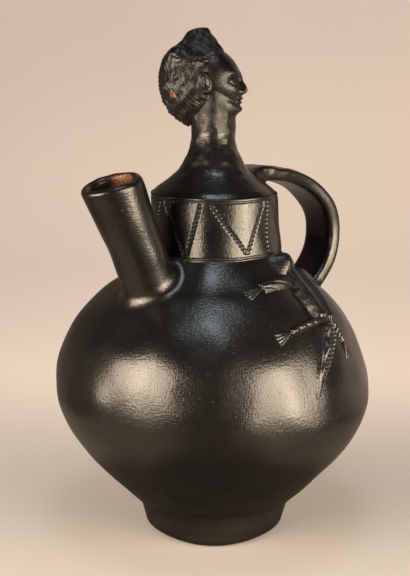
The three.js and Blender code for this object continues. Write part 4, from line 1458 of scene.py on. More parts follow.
@dataclass
class Lizard:
    """Lizard modelled in strips on the belly, ridged along its back and slashed on its legs.

    Tracks are (degrees round the jug, millimetres under the collar) places. Tables and bands run along a strip from 0
    to 1, or across it from -1 to 1.
    """

    outline: Outline
    edge: float = 0.4 * MM  # how far a strip's rim goes under the belly's skin
    buried: float = 2.0 * MM
    scratch: Pair = (0.1, 0.9)  # values of a wave between which a scratch comes in
    head_track: Table = ((114.6, 0.4), (114, 8), (113.4, 20))
    head_width: float = 36 * MM
    head_relief: float = 10 * MM
    head_radius: float = 9.5 * MM
    head_top: float = 7 * MM  # way from the collar to the middle of the lump
    head_steepness: float = 1.3
    head_skirt: float = 0.08  # share of the lump's height that spreads out round it
    head_dent: tuple[Band, Band] = (Band(0.14, 0.3, 0.15), Band(1, -0.3, 0.2))  # along and across
    head_ripple: Triple = (0.05, 11, 9)  # height, and turns along and across
    head_rounds: int = 6  # rounds of smoothing
    trunk_track: Table = ((118.5, 8.5), (112.5, 24), (107.5, 40))
    trunk_width: float = 29 * MM
    trunk_taper: Table = ((0, 0.7), (0.12, 0.85), (0.45, 1), (0.8, 0.8), (1, 0.5))
    trunk_ends: Table = ((0, 0.6), (0.08, 1), (0.9, 1), (1, 0.3))
    trunk_section: Table = (
        (-1, 0), (-0.9, 0.4 * MM), (-0.7, 5.0 * MM), (-0.4, 5.9 * MM), (0.4, 6.1 * MM), (0.7, 4.8 * MM), (1, 0),
    )
    trunk_ridges: tuple[Band, ...] = (Band(1.725 * MM, -0.22, 0.06), Band(1.38 * MM, 0.56, 0.05))
    trunk_hollow: Band = Band(0.8 * MM, 0.12, 0.26)
    trunk_flank: Band = Band(0.7 * MM, -0.7, 0.22)
    # Lumps of the flank: turns along, turns across and phase of three waves, and the share of the last
    lump_waves: tuple[Triple, ...] = ((16, 2, 0.5), (5, 7, 0), (43, -9, 0))
    lump_fine: float = 0.25
    hatching: Band = Band(0.5 * MM, 0.12, 0.2)
    hatch_pitch: float = 1.9 * MM
    hatch_lean: float = 4
    tail_track: Table = ((108, 37), (103.2, 47), (98.2, 58), (94, 68), (91, 79))
    tail_width: float = 19 * MM
    tail_taper: Table = ((0, 0.55), (0.22, 1), (0.5, 0.78), (0.75, 0.45), (1, 0.1))
    tail_fade: Table = ((0, 0.8), (0.25, 1), (1, 0.3))
    tail_relief: float = 4.6 * MM
    tail_shoulder: float = -0.66
    tail_spine: float = 0.42
    tail_roundness: float = 0.55
    tail_full: Band = Band(3.2 * MM, -0.22, 0.26)
    tail_lumps: tuple[Band, ...] = (Band(1, 0.17, 0.08), Band(1, 0.42, 0.1), Band(0.6, 0.66, 0.09))
    tail_groove: Band = Band(0.9 * MM, 0.2, 0.1)
    braid: Band = Band(1.7 * MM, 0.5, 0.15)
    braid_notches: Band = Band(1.1 * MM, 0.5, 0.24)
    braid_pitch: float = 3.0 * MM
    braid_lean: float = 0.9
    leg_taper: Pair = (1.15, 0.35)  # share of its breadth at the root, and what is gone at the wrist
    leg_fall: Pair = (1.05, 0.4)  # the same for its height
    leg_roundness: float = 0.8
    slash: Pair = (0.3, 0.95)  # values of the wave between which a slash comes in
    slashed: Pair = (0.15, 0.35)  # shares of the way between which the slashes begin
    legs: tuple[Leg, ...] = (
        Leg("lizard_leg_front_left", ((116, 15.5), (104, 14.5), (92, 15), (81, 16.5)), 11.5, 5.0, 14, 1.4, 0.7),
        Leg("lizard_leg_front_right", ((122, 16.5), (133, 14), (143, 16), (151, 20)), 9.5, 4.4, 14, 1.4, 0.7),
        Leg("lizard_leg_rear_left", ((107, 37.5), (100, 37.5), (93, 38.2), (86.4, 39.8)), 7.0, 5.0, 6.5, 0.5, 0.45),
        Leg("lizard_leg_rear_right", ((110, 36.5), (113.5, 41), (114, 46), (114.5, 51)), 5.6, 3.8, 3.2, 0.4, 0.9),
    )
    toes: int = 4
    toe_spread: float = math.radians(11.5)
    toe_length: float = 13 * MM
    toe_width: float = 3.0 * MM
    toe_relief: float = 2.2 * MM
    toe_root: float = 0.15  # share of the length that lies back under the wrist
    toe_taper: float = 0.35  # share of the breadth that is gone at the tip
    toe_fall: float = 0.6  # the same for the height
    toe_roundness: float = 0.7
    grain: float = 0.36 * MM

    def track(self, stops: Table, steps: int) -> Points:
        """Smooth line over the outside.

        Args:
            stops: Places that it goes through.
            steps: Number of equal steps along it.

        Returns:
            steps + 1 points.
        """
        base = self.outline.collar_base
        knots = np.array([self.outline.at(math.radians(turn), base - drop * MM) for turn, drop in stops])
        ends = np.vstack([2 * knots[0] - knots[1], knots, 2 * knots[-1] - knots[-2]])
        pieces = []
        for k in range(len(knots) - 1):
            before, start, end, after = ends[k : k + 4]
            out, into = (end - before) / 6, (after - start) / 6
            pieces.append(bezier([start, start + out, end - into, end], steps)[:-1])
        line = np.vstack([*pieces, knots[-1:]])
        length = np.r_[0, np.linalg.norm(np.diff(line, axis=0), axis=1).cumsum()]
        even = np.linspace(0, length[-1], steps + 1)
        return self.outline.settle(np.column_stack([np.interp(even, length, line[:, k]) for k in range(3)]))

    @staticmethod
    def grid(line: Points, columns: int) -> tuple[Points, Points, float]:
        """Places of a strip.

        Args:
            line: Its middle line.
            columns: Points across its top.

        Returns:
            Shares of the way as a column, shares across as a row, and the length.
        """
        share = np.linspace(0, 1, len(line))[:, None]
        aside = np.sin(np.linspace(-math.pi / 2, math.pi / 2, columns))[None, :]
        return share, aside, float(np.linalg.norm(np.diff(line, axis=0), axis=1).sum())

    def strip(self, name: str, line: Points, width: Points, relief: Points) -> Piece:
        """Lays a strip of clay along a line.

        Args:
            name: Name of the piece.
            line: Middle line on the outside.
            width: Breadth at each point of the line, as a column.
            relief: Height over the outside, with a row for each point of the line.

        Returns:
            The strip, a closed solid.
        """
        aside = self.grid(line, relief.shape[1])[1]
        along = unit(np.gradient(line, axis=0))
        across = unit(np.cross(self.outline.normal(line), along))
        skin = self.outline.settle(line[:, None] + (width / 2 * aside)[..., None] * across[:, None])
        normal = self.outline.normal(skin)
        top = skin + (relief - self.edge)[..., None] * normal
        under = (skin - self.buried * normal)[:, 3:-3:5][:, ::-1]
        return Bench.skin(name, np.concatenate([top, under], axis=1))

    def head(self) -> Piece:
        """A round lump of clay under the collar, smoothed out at its foot.

        Returns:
            The lump.
        """
        line = self.track(self.head_track, 60)
        share, aside, length = self.grid(line, 61)
        away = ((share * length - self.head_top) / self.head_radius) ** 2
        away = away + (aside * self.head_width / 2 / self.head_radius) ** 2
        lump = (1 - self.head_skirt) * np.exp(-(away**self.head_steepness)) + self.head_skirt * np.exp(-away / 2)
        dent = self.head_dent[0].at(share) * self.head_dent[1].at(aside)
        high, turns_along, turns_across = self.head_ripple
        dents = 1 - dent + high * np.sin(turns_along * share + turns_across * aside)
        relief = self.head_relief * dents * lump * (1 - aside**4)
        head = self.strip("lizard_head", line, np.full_like(share, self.head_width), relief)
        Bench.modify(head, "SMOOTH", factor=0.5, iterations=self.head_rounds)
        return head

    def trunk(self) -> Piece:
        """A broad back with a ridge along its middle and one at its far side, hatched between.

        Returns:
            The trunk.
        """
        line = self.track(self.trunk_track, 110)
        share, aside, length = self.grid(line, 71)
        first, second, third = (
            np.sin(along * share + across * aside + phase) for along, across, phase in self.lump_waves
        )
        flank = (first * second + self.lump_fine * third) * self.trunk_flank.at(aside)
        ridges = sum(band.at(aside) for band in self.trunk_ridges)
        hatch = np.cos(2 * math.pi * (share * length / self.hatch_pitch + self.hatch_lean * aside))
        marks = smooth_step(hatch, *self.scratch) * self.hatching.at(aside)
        back = read(self.trunk_section, aside) + flank + ridges - self.trunk_hollow.at(aside) - marks
        width = self.trunk_width * read(self.trunk_taper, share)
        return self.strip("lizard_trunk", line, width, read(self.trunk_ends, share) * back)

    def tail(self) -> Piece:
        """A leaf-shaped tail, full on one side, with a braided ridge along the other.

        Returns:
            The tail.
        """
        line = self.track(self.tail_track, 130)
        share, aside, length = self.grid(line, 61)
        near = np.clip((1 + aside) / (1 + self.tail_shoulder), 0, 1)
        far = np.clip((1 - aside) / (1 - self.tail_spine), 0, 1) ** self.tail_roundness
        leaf = self.tail_relief * np.minimum(near, far)
        full = sum(band.at(share) for band in self.tail_lumps) * self.tail_full.at(aside)
        twist = np.cos(2 * math.pi * (share * length / self.braid_pitch + self.braid_lean * aside))
        notches = smooth_step(twist, *self.scratch) * self.braid_notches.at(aside)
        back = leaf + full + self.braid.at(aside) - self.tail_groove.at(aside) - notches
        width = self.tail_width * read(self.tail_taper, share)
        return self.strip("lizard_tail", line, width, read(self.tail_fade, share) * back)

    def toe(self, start: Points, way: Points) -> Piece:
        """A thin toe.

        Args:
            start: Place of the wrist.
            way: Direction in which it points.

        Returns:
            The toe.
        """
        reach = np.linspace(-self.toe_root, 1, 30)[:, None] * self.toe_length
        line = self.outline.settle(start + reach * way)
        share, aside, _ = self.grid(line, 13)
        relief = self.toe_relief * (1 - self.toe_fall * share**2) * (1 - aside**2) ** self.toe_roundness
        return self.strip("toe", line, self.toe_width * (1 - self.toe_taper * share**2), relief)

    def leg(self, leg: Leg) -> Piece:
        """A leg with slashes across it and splayed toes, kneaded into one.

        Args:
            leg: Which leg.

        Returns:
            The leg with its toes.
        """
        line = self.track(leg.track, 90)
        share, aside, length = self.grid(line, 31)
        width = leg.breadth * MM * (self.leg_taper[0] - self.leg_taper[1] * share)
        body = leg.height * MM * (self.leg_fall[0] - self.leg_fall[1] * share) * (1 - aside**2) ** self.leg_roundness
        wave = np.cos(2 * math.pi * (share * length / (leg.pitch * MM) + leg.lean * aside))
        slashes = leg.cut * MM * smooth_step(wave, *self.slash) * smooth_step(share, *self.slashed) * (1 - aside**4)
        strips = [self.strip(leg.name, line, width, body - slashes)]
        heading = Vector(line[-1] - line[-4]).normalized()
        normal = Vector(self.outline.normal(line[-1]))
        for toe in range(self.toes):
            fan = self.toe_spread * (toe - (self.toes - 1) / 2)
            strips.append(self.toe(line[-1], np.array(Matrix.Rotation(fan, 3, normal) @ heading)))
        joined = Bench.joined(leg.name, strips)
        Bench.kneaded(joined, self.grain, 2)
        return joined

    def build(self, dresser: Dresser) -> None:
        """Makes and dresses every strip.

        Args:
            dresser: Dresser of the pieces.
        """
        for name, part in (("lizard_head", self.head), ("lizard_trunk", self.trunk), ("lizard_tail", self.tail)):
            dresser.dress(part(), Slot.RELIEF, name, angle=70)
        for leg in self.legs:
            dresser.dress(self.leg(leg), Slot.RELIEF, leg.name, angle=70)


@dataclass(frozen=True)
class Touch:
    """A touch of the tool on the face, alike on both sides: its lift, and its place and spread across and up."""

    lift: float
    across: Pair
    up: Pair

    def at(self, side: Points, height: Points) -> Points:
        """How far it lifts the clay at distances from the middle and at heights."""
        return self.lift * bump(side, *self.across) * bump(height, *self.up)


@dataclass(frozen=True)
class Lip:
    """A lip: its lift, half its length, its level over the mouth, its spread and the dip at its middle."""

    lift: float
    half: float
    level: float
    spread: float
    dip: float = 0.0
    dip_spread: float = 1.2 * MM
    fullness: float = 0.7

    def at(self, side: Points, height: Points) -> Points:
        """How far it lifts the clay at distances from the middle and at heights over the mouth."""
        full = self.lift * np.clip(1 - (side / self.half) ** 2, 0, 1) ** self.fullness
        return full * bump(height, self.level - self.dip * bump(side, 0, self.dip_spread), self.spread)


@dataclass
class Head:
    """The figure's head on its neck: a calm, plain face, ears, a mass of combed hair and a peaked crest."""

    outline: Outline
    heading: float = math.radians(133)
    length: float = 37 * MM
    width: float = 34 * MM
    height: float = 43 * MM
    jaw_narrowing: float = 0.28
    chin_reach: float = 9 * MM
    grain: float = 0.42 * MM
    face_from: Pair = (5 * MM, 11 * MM)  # places forward between which the face comes in
    face_over: Pair = (-25 * MM, -21 * MM)  # heights between which it comes in
    eye_spacing: float = 7.0 * MM
    eye_rise: float = 0.2 * MM
    eye_half: Pair = (4.1 * MM, 2.7 * MM)
    lid_lift: float = 2.1 * MM
    slit: Band = Band(0.7 * MM, -0.5 * MM, 0.42 * MM)
    slit_curve: float = 50.0  # how the slit bends down to its ends, for each metre
    nose_top: float = 4.5 * MM
    nose_base: float = -9.0 * MM
    nose_lift: Pair = (0.9 * MM, 4.0 * MM)  # how far it stands out at its top, and what its tip adds
    nose_half: Pair = (2.1 * MM, 1.5 * MM)  # half its width, the same way
    nose_tip: Pair = (2.2 * MM, 2.6 * MM)  # height over its base where the tip rounds off, and over what way
    nose_root: Pair = (7.5 * MM, 4 * MM)  # height where it leaves the forehead, and over what way
    mouth: float = -13.0 * MM
    lips: tuple[Lip, Lip] = (
        Lip(1.5 * MM, 6.4 * MM, 1.3 * MM, 1.0 * MM, dip=0.3 * MM), Lip(1.6 * MM, 5.6 * MM, -1.3 * MM, 1.1 * MM),
    )
    chin: float = -18.6 * MM
    worn_tip: Pair = (2.0 * MM, 2.8 * MM)  # distances from the nose's tip between which its red clay ends
    stub_depth: float = 9 * MM  # how far the head's skin reaches down over the neck
    stub_top: float = -6 * MM
    stub_stand: float = 0.08 * MM  # how far that skin stands off the neck
    stub_tuck: float = 0.6 * MM  # how far its edge is tucked in
    nape_full: Band = Band(0.2, -22 * MM, 6 * MM)  # what the neck gains backwards under the hair
    nape_from: Pair = (2 * MM, 10 * MM)  # places backwards between which it comes in
    joint_from: Pair = (1 * MM, 4 * MM)  # heights over the neck between which its joint's smoothing comes in
    joint_to: Pair = (9 * MM, 13 * MM)  # and those between which it goes
    joint_rounds: int = 50
    dull_neck: Band = Band(1, -20 * MM, 8 * MM)
    patches: Pair = (0.6, 0.9)  # how dull the neck is, and how far patches change that
    hair_size: Triple = (46 * MM, 42 * MM, 52.4 * MM)
    hair_middle: Triple = (-14.3 * MM, 0.0, -2.8 * MM)
    hair_flare: Band = Band(0.22, 17 * MM, 9 * MM)  # what its width gains at a height
    nape: Triple = (-27 * MM, 0.0, 14 * MM)  # swelling behind the crest
    under_nape: Triple = (-20 * MM, 0.0, -25 * MM)  # fullness over the neck
    knot: Triple = (-22 * MM, 13 * MM, 16 * MM)  # smooth lump at each side of it
    # How far each of the three stands out in millimetres, and its spread
    swellings: tuple[Band, Band, Band] = (Band(2.0, 0, 11 * MM), Band(2.2, 0, 8 * MM), Band(4, 0, 6 * MM))
    lump_height: float = 0.8
    curl_pitch: float = 3.4 * MM
    curl_depth: float = 0.45 * MM
    curls_from: Pair = (8.5, 11)  # distances from the ear between which the locks come in, in millimetres
    parting: Pair = (2.5, 5)  # distances from the middle between which they come in, in millimetres
    plait_half: float = 2.4
    plait_pitch: float = 3.1
    plait_lean: float = 0.6
    chip_place: Triple = (-24.6 * MM, -17.3 * MM, -9.4 * MM)
    chip_ways: tuple[Triple, Triple] = ((0.5, 0.3, -0.81), (0.81, 0, 0.5))  # along the chip and across it
    chip_shape: Pair = (0.6, 1.3)
    chip_edge: Pair = (1.2 * MM, 1.9 * MM)
    haze: float = 0.4  # dullness of the combed and dented clay
    # Crest, in millimetres: height over the middle of the head, back, front, half width
    crest_levels: tuple[tuple[float, float, float, float], ...] = (
        (12.0, -24.0, 6.0, 11.0),
        (16.0, -29.0, 9.0, 11.8),
        (18.0, -30.4, 9.4, 11.6),
        (20.0, -30.0, 7.6, 10.8),
        (23.0, -26.8, 4.0, 9.4),
        (26.5, -23.2, 0.4, 8.4),
        (29.5, -20.6, -1.9, 6.6),
        (32.2, -18.4, -3.6, 5.4),
    )
    crest_top: float = 34.3 * MM
    crest_slant: float = 0.20
    crest_rows: int = 40
    crest_sides: int = 96
    crest_cap: tuple[float, ...] = (0.3, 0.55, 0.75, 0.9, 1.0)  # shares of the cap's height
    # Dents of the crest: share of its size, waves round it, and their turn for each metre up
    crest_dents: tuple[Triple, ...] = ((0.04, 3, 260), (0.035, 7, -500), (0.03, 11, 900))
    crest_grain: float = 0.5 * MM
    ear_place: Pair = (-3.0 * MM, -2.0 * MM)
    ear_size: Triple = (11 * MM, 9 * MM, 17 * MM)
    ear_sunk: float = 0.9 * MM
    ear_tilt: float = 0.14
    # Forms of the ear: height, and its distance from its own middle with its spread, on a ball of radius 1
    ear_rim: Band = Band(1.3 * MM, 0.74, 0.13)
    ear_fold: Band = Band(0.8 * MM, 0.4, 0.1)
    ear_lobe: Band = Band(0.7 * MM, 0, 0.25)
    ear_hollow: Band = Band(2.4 * MM, 0, 0.5)

    def __post_init__(self) -> None:
        """Sets up the head's own frame: x is the way that it faces."""
        self.turn = np.array(Matrix.Rotation(self.heading, 3, "Z"))
        self.middle = np.array([0, 0, self.outline.head_middle])

    def into_jug(self, points: Points) -> Points:
        """Points of the head's frame in the jug's."""
        return points @ self.turn.T + self.middle

    def own(self, piece: Piece) -> Points:
        """A piece's vertices in the head's frame."""
        return (Bench.places(piece) - self.middle) @ self.turn

    def skull(self, direction: Points) -> Points:
        """Egg that narrows to the jaw and reaches out to the chin.

        Args:
            direction: Points of a unit ball.

        Returns:
            The same points on the egg.
        """
        x, y, z = direction.T
        low = np.clip(-z, 0, None)
        forward = x * self.length / 2 + self.chin_reach * low * np.clip(x, 0, None)
        across = y * self.width / 2 * (1 - self.jaw_narrowing * low**2)
        return np.column_stack([forward, across, z * self.height / 2])

    def touches(self) -> tuple[Touch, ...]:
        """Lists the soft raises and hollows of the face.

        Returns:
            Brow, eye sockets, wings of the nose, nostrils, line of the mouth, groove over it, chin, jaw and cheeks.
        """
        nose, mouth, chin = self.nose_base, self.mouth, self.chin
        return (
            Touch(1.2 * MM, (6.5 * MM, 5 * MM), (5.6 * MM, 2.0 * MM)),
            Touch(-2.4 * MM, (self.eye_spacing, 4.4 * MM), (0.8 * MM, 3.0 * MM)),
            Touch(2.0 * MM, (3.4 * MM, 1.6 * MM), (nose + 1.8 * MM, 1.6 * MM)),
            Touch(-0.9 * MM, (1.9 * MM, 0.8 * MM), (nose + 0.3 * MM, 0.8 * MM)),
            Touch(-0.8 * MM, (0, 5.6 * MM), (mouth, 0.42 * MM)),
            Touch(-0.4 * MM, (0, 1.0 * MM), (nose - 1.6 * MM, 1.1 * MM)),
            Touch(5.4 * MM, (0, 7.5 * MM), (chin - 0.6 * MM, 3.4 * MM)),
            Touch(1.8 * MM, (9 * MM, 5 * MM), (chin + 2 * MM, 4.5 * MM)),
            Touch(0.8 * MM, (10.5 * MM, 4.5 * MM), (-5.5 * MM, 4.5 * MM)),
        )

    def face(self, y: Points, z: Points) -> Points:
        """Relief of the face, forward.

        Args:
            y: Places across.
            z: Places up.

        Returns:
            How far the clay stands out there.
        """
        side = np.abs(y)
        aside = side - self.eye_spacing
        wide, high = self.eye_half
        oval = np.sqrt(np.clip(1 - (aside / wide) ** 2 - ((z - self.eye_rise) / high) ** 2, 0, 1))
        eyes = (self.lid_lift - self.slit.at(z + self.slit_curve * aside**2)) * oval
        slope = np.clip((self.nose_top - z) / (self.nose_top - self.nose_base), 0, 1)
        tip = 1 - smooth_step(self.nose_base + self.nose_tip[0] - z, 0, self.nose_tip[1])
        lift, half = (start + more * slope for start, more in (self.nose_lift, self.nose_half))
        nose = lift * bump(y, 0, half) * tip * smooth_step(self.nose_root[0] - z, 0, self.nose_root[1])
        lips = sum(lip.at(side, z - self.mouth) for lip in self.lips)
        return eyes + nose + lips + sum(touch.at(side, z) for touch in self.touches())

    def features(self) -> Piece:
        """Models the head with its face and the start of the neck in one skin of clay.

        Returns:
            The head.
        """
        skull = Bench.ball("head", 6)
        Bench.move(skull, self.into_jug(self.skull(Bench.places(skull))))
        low, high = self.outline.neck_top, self.outline.head_middle + self.stub_top
        sleeve = np.linspace(low - self.stub_depth, high, 40)
        tucked = 1 - smooth_step(sleeve, low - self.stub_depth, low - self.stub_depth + 3 * MM)
        fit = self.stub_stand - self.stub_tuck * tucked
        wall = np.column_stack([self.outline.radius(sleeve) + fit, sleeve])
        stub = Bench.turned("stub", np.vstack([[(0, sleeve[0])], wall, [(0, high)]]), 96)
        head = Bench.joined("head", [skull, stub])
        Bench.kneaded(head, self.grain, 3)
        own = self.own(head)
        x, y, z = own.T
        front = smooth_step(x, *self.face_from) * smooth_step(z, *self.face_over)
        own[:, 0] += front * self.face(y, z)
        own[:, 0] *= 1 + self.nape_full.at(z) * smooth_step(-x, *self.nape_from)
        Bench.move(head, self.into_jug(own))
        level = Bench.places(head)[:, 2] - low
        Bench.weigh(head, "joint", smooth_step(level, *self.joint_from) * (1 - smooth_step(level, *self.joint_to)))
        Bench.modify(head, "SMOOTH", factor=0.5, iterations=self.joint_rounds, vertex_group="joint")
        head.vertex_groups.clear()
        Bench.modify(head, "SMOOTH", factor=0.4, iterations=1)
        x, y, z = self.own(head).T
        tip = np.hypot(np.hypot(x - x[front > 0.5].max(), y * 0.7), z - self.nose_base - 2.4 * MM)
        Bench.paint(head, Paint.BARE_AND_PAINTED_LIGHT, 1 - smooth_step(tip, *self.worn_tip))
        patches = np.sin((0.5 * x + 0.34 * z) / MM) * np.sin((0.3 * z - 0.45 * y) / MM + 1)
        dull = np.clip(self.patches[0] - self.patches[1] * patches, 0, 1)
        Bench.paint(head, Paint.CUT, dull * self.dull_neck.at(z))
        return head

    def ear(self, name: str, side: int) -> Piece:
        """Models an ear: a curled rim round a hollow, an inner fold and a lobe.

        Args:
            name: Name of the piece.
            side: 1 at the figure's left, -1 at its right.

        Returns:
            The ear.
        """
        ear = Bench.ball(name, 6)
        ball = Bench.places(ear)
        x, y, z = ball.T
        turn = np.arctan2(z, -x)
        rim = self.ear_rim.at(np.hypot(x, z)) * smooth_step(-(x - 0.55), 0, 0.3)
        fold = self.ear_fold.at(np.hypot(x - 0.12, z - 0.02)) * smooth_step(np.cos(turn - 0.3), 0.1, 0.5)
        lobe = self.ear_lobe.at(np.hypot(x - 0.1, z + 0.8))
        hollow = self.ear_hollow.at(np.hypot(x - 0.15, z + 0.02))
        own = ball * np.array(self.ear_size) / 2
        own[:, 1] += side * smooth_step(y * side, 0.05, 0.45) * (rim + fold + lobe - hollow)
        own[:, 0] -= self.ear_tilt * own[:, 2]
        at = np.array([self.ear_place[0], side * (self.width / 2 - self.ear_sunk), self.ear_place[1]])
        Bench.move(ear, self.into_jug(own + at))
        return ear

    def locks(self, x: Points, y: Points, z: Points) -> Points:
        """Waves of the locks that are combed round the ears.

        Args:
            x: Places forward, in millimetres.
            y: Places across.
            z: Places up.

        Returns:
            Values from -1 to 1, 0 where no locks are.
        """
        ring = np.hypot(x - self.ear_place[0] / MM, z - self.ear_place[1] / MM)
        wander = 1.3 * np.sin(0.42 * z + 0.25 * x) + 0.8 * np.sin(0.9 * x + 0.5 * z)
        wave = np.cos(2 * math.pi * (ring + wander) * MM / self.curl_pitch)
        wave = wave * (0.55 + 0.45 * np.sin(0.5 * z - 0.3 * x))
        return wave * smooth_step(ring, *self.curls_from) * smooth_step(np.abs(y), *self.parting)

    def hair(self) -> Piece:
        """Models the mass of hair: locks combed round the ears, and a plait over the back.

        Returns:
            The hair.
        """
        hair = Bench.ball("hair", 7)
        ball = Bench.places(hair)
        own = ball * np.array(self.hair_size) / 2 + np.array(self.hair_middle)
        own[:, 1] *= 1 + self.hair_flare.at(own[:, 2])
        x, y, z = own.T / MM
        lumps = 0.7 * np.sin(0.31 * x + 1.3) * np.sin(0.37 * z + 0.4) + 0.35 * np.sin(0.7 * x - 0.5 * z + 0.3 * y)
        locks = self.locks(x, y, z)
        arc = np.arctan2(z - self.hair_middle[2] / MM, self.hair_middle[0] / MM - x) * self.hair_size[2] / MM / 2
        strands = np.cos(2 * math.pi * (arc + self.plait_lean * np.abs(y)) / self.plait_pitch)
        plait = bump(y, 0, self.plait_half) * (0.7 + 0.3 * strands)
        either = np.column_stack([own[:, 0], np.abs(own[:, 1]), own[:, 2]])
        swelling, under, knot = (
            band.at(np.linalg.norm(either - np.array(place), axis=1))
            for band, place in zip(self.swellings, (self.nape, self.under_nape, self.knot))
        )
        smooth = knot / self.swellings[2].height
        raised = lumps * self.lump_height + plait + swelling + under + knot
        own += ball * (raised * MM + locks * self.curl_depth * (1 - smooth))[:, None]
        along, across = np.array(self.chip_ways) @ (own - np.array(self.chip_place)).T
        chip = np.hypot(along * self.chip_shape[0], across * self.chip_shape[1]) + (np.abs(y + 16) > 6)
        Bench.move(hair, self.into_jug(own))
        Bench.paint(hair, Paint.BARE_AND_PAINTED_LIGHT, 1 - smooth_step(chip, *self.chip_edge))
        Bench.paint(hair, Paint.CUT, self.haze - self.haze * smooth)
        return hair

    def crest(self) -> Piece:
        """Lofts the crest from the crown to its slanting top, with the dents of a hand.

        Returns:
            The crest.
        """
        levels = np.array(self.crest_levels) * MM
        fine = np.linspace(levels[0, 0], levels[-1, 0], self.crest_rows)
        back, front, half = (np.interp(fine, levels[:, 0], levels[:, k]) for k in (1, 2, 3))
        turn = np.linspace(0, 2 * math.pi, self.crest_sides, endpoint=False)
        rings = []
        for level, low, high, wide in zip(fine, back, front, half):
            dents = 1 + sum(deep * np.sin(waves * turn + twist * level) for deep, waves, twist in self.crest_dents)
            forward = (low + high) / 2 + np.cos(turn) * dents * (high - low) / 2
            rings.append(np.column_stack([forward, np.sin(turn) * dents * wide, np.full_like(turn, level)]))
        last = rings[-1]
        centre = last.mean(axis=0)
        for share in self.crest_cap:
            ring = centre + (last - centre) * math.sqrt(1 - share**2)
            ring[:, 2] = levels[-1, 0] + (self.crest_top - levels[-1, 0]) * share
            rings.append(ring)
        shape = np.stack(rings)
        above = smooth_step(shape[..., 2], levels[3, 0], levels[-1, 0])
        shape[..., 2] += above * self.crest_slant * (shape[..., 0] - centre[0])
        crest = Bench.skin("crest", self.into_jug(shape.reshape(-1, 3)).reshape(shape.shape))
        Bench.kneaded(crest, self.crest_grain, 2)
        Bench.paint(crest, Paint.CUT, np.full(len(crest.data.vertices), self.haze))
        return crest

    def build(self, dresser: Dresser) -> None:
        """Makes and dresses every piece of the head.

        Args:
            dresser: Dresser of the pieces.
        """
        face_nodes = ("head", "nose", "upper_lip", "lower_lip", "eye_left", "eye_right")
        dresser.dress(self.features(), Slot.FIGURE, *face_nodes, angle=70)
        dresser.dress(self.hair(), Slot.FIGURE, "hair", angle=70)
        dresser.dress(self.crest(), Slot.FIGURE, "crest", angle=70)
        for name, side in (("ear_left", 1), ("ear_right", -1)):
            dresser.dress(self.ear(name, side), Slot.FIGURE, name, angle=70)


@dataclass(frozen=True)
class SoftBox:
    """A soft lamp: where it stands as seen from the jug, its size, its colour and its power."""

    name: str
    heading: float  # degrees to the right of the camera
    rise: float  # degrees over the jug's middle
    distance: float
    size: Pair
    colour: Triple
    power: float


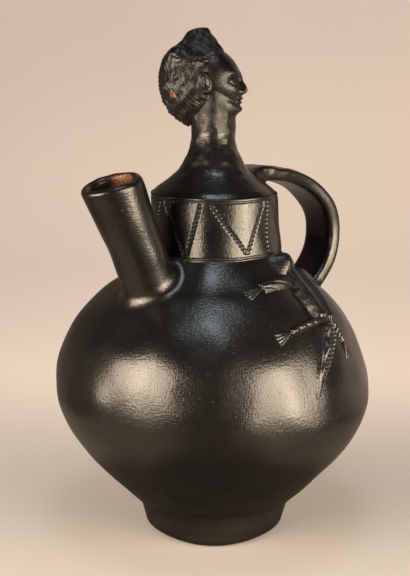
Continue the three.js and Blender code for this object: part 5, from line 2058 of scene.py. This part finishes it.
@dataclass
class Studio:
    """Floor, backdrop, lamps and camera."""

    ground: PaleGround = PaleGround()
    aim_height: float = 140 * MM
    camera_place: Triple = (424.07 * MM, 556.94 * MM, 309 * MM)
    camera_turn: Triple = (79.05, 0.0, 143.18)
    focal_pixels: float = 1011.6
    sensor: float = 36.0
    floor_front: float = 2.5
    floor_back: float = 1.1
    sweep: float = 0.7  # radius of the bend between floor and backdrop
    sweep_rows: int = 15
    wall_top: float = 2.6
    half_width: float = 4.0
    room: Colour = (0.035, 0.034, 0.034, 1)
    lamps: tuple[SoftBox, ...] = (
        SoftBox("left_box", -50, 12, 0.62, (0.56, 0.36), (1.0, 0.82, 0.60), 5.6),
        SoftBox("left_core", -48, 14, 0.61, (0.10, 0.30), (1.0, 0.82, 0.60), 0.8),
        SoftBox("right_box", 50, 8, 0.62, (0.52, 0.38), (1.0, 0.82, 0.60), 5.6),
        SoftBox("right_core", 53, 6, 0.61, (0.12, 0.30), (1.0, 0.82, 0.60), 0.8),
        SoftBox("skylight", 5, 75.5, 1.3, (0.32, 0.40), (0.84, 0.94, 1.0), 2.1),
    )

    def floor(self) -> Piece:
        """Lays the floor and sweeps it up into the backdrop.

        Returns:
            The floor.
        """
        turn = np.linspace(0, math.pi / 2, self.sweep_rows + 1)
        bend = np.column_stack([-self.floor_back - self.sweep * np.sin(turn), self.sweep * (1 - np.cos(turn))])
        wall = (-self.floor_back - self.sweep, self.wall_top)
        depth, height = np.vstack([[(self.floor_front, 0)], bend, [wall]]).T
        middle = np.outer(depth, TOWARDS) + np.outer(height, UP)
        aside = self.half_width * RIGHT
        floor = Bench.sheet("floor", np.stack([middle - aside, middle + aside], axis=1))
        with Bench.editing(floor):
            bpy.ops.mesh.normals_make_consistent(inside=False)
        Bench.shade(floor)
        floor.data.materials.append(self.ground.material())
        return floor

    def lamp(self, box: SoftBox) -> None:
        """Stands a soft lamp and turns it to the jug.

        Args:
            box: Which lamp.
        """
        heading, rise = math.radians(box.heading), math.radians(box.rise)
        level = math.cos(heading) * TOWARDS + math.sin(heading) * RIGHT
        way = Vector(math.cos(rise) * level + math.sin(rise) * UP)
        Bench.deselect()
        bpy.ops.object.light_add(
            type="AREA",
            location=way * box.distance + Vector((0, 0, self.aim_height)),
            rotation=way.to_track_quat("Z", "Y").to_euler(),
        )
        lamp = Bench.named(box.name)
        lamp.data.shape = "RECTANGLE"
        lamp.data.size, lamp.data.size_y = box.size
        lamp.data.color = box.colour
        lamp.data.energy = box.power
        LOG.info("%s lit", box.name)

    def camera(self) -> None:
        """Stands the camera where the photograph was taken from."""
        Bench.deselect()
        turn = tuple(math.radians(angle) for angle in self.camera_turn)
        bpy.ops.object.camera_add(location=self.camera_place, rotation=turn)
        camera = Bench.named("camera")
        camera.data.sensor_width = self.sensor
        camera.data.lens = self.focal_pixels / IMAGE_HEIGHT * self.sensor
        bpy.context.scene.camera = camera

    def build(self) -> None:
        """Sets up the whole studio."""
        self.floor()
        for box in self.lamps:
            self.lamp(box)
        self.camera()
        world = bpy.data.worlds.new("room")
        world.use_nodes = True
        world.node_tree.nodes["Background"].inputs["Color"].default_value = self.room
        bpy.context.scene.world = world
        bpy.context.scene.view_settings.view_transform = "Standard"


def main() -> None:
    """Builds the jug and its studio."""
    logging.basicConfig(level=logging.INFO, format="%(name)s: %(message)s")
    outline = Outline()
    hand = PottersHand()
    clays = (
        Clay("burnished_black", Slot.BURNISHED),
        Clay("scraped_black", Slot.FOOT, (0.006, 0.005, 0.004, 1), (0.016, 0.012, 0.009, 1), roughness=0.4),
        Clay("modelled_black", Slot.FIGURE, roughness=0.27, shine=0.58, stroke_depth=0.4 * MM, fineness=1.2),
        Clay("slashed_black", Slot.RELIEF, roughness=0.24, stroke_depth=0.4 * MM, fineness=1.2),
    )
    dresser = Dresser(hand, {clay.slot: clay.material() for clay in clays})
    spout = Spout(outline)
    Foot(outline).build(dresser)
    Belly(outline).build(dresser, spout)
    Collar(outline).build(dresser)
    Shoulders(outline).build(dresser)
    spout.build(dresser)
    Handle(outline).build(dresser)
    Lizard(outline).build(dresser)
    Head(outline).build(dresser)
    hand.put_away()
    Studio().build()


if __name__ == "__main__":
    main()
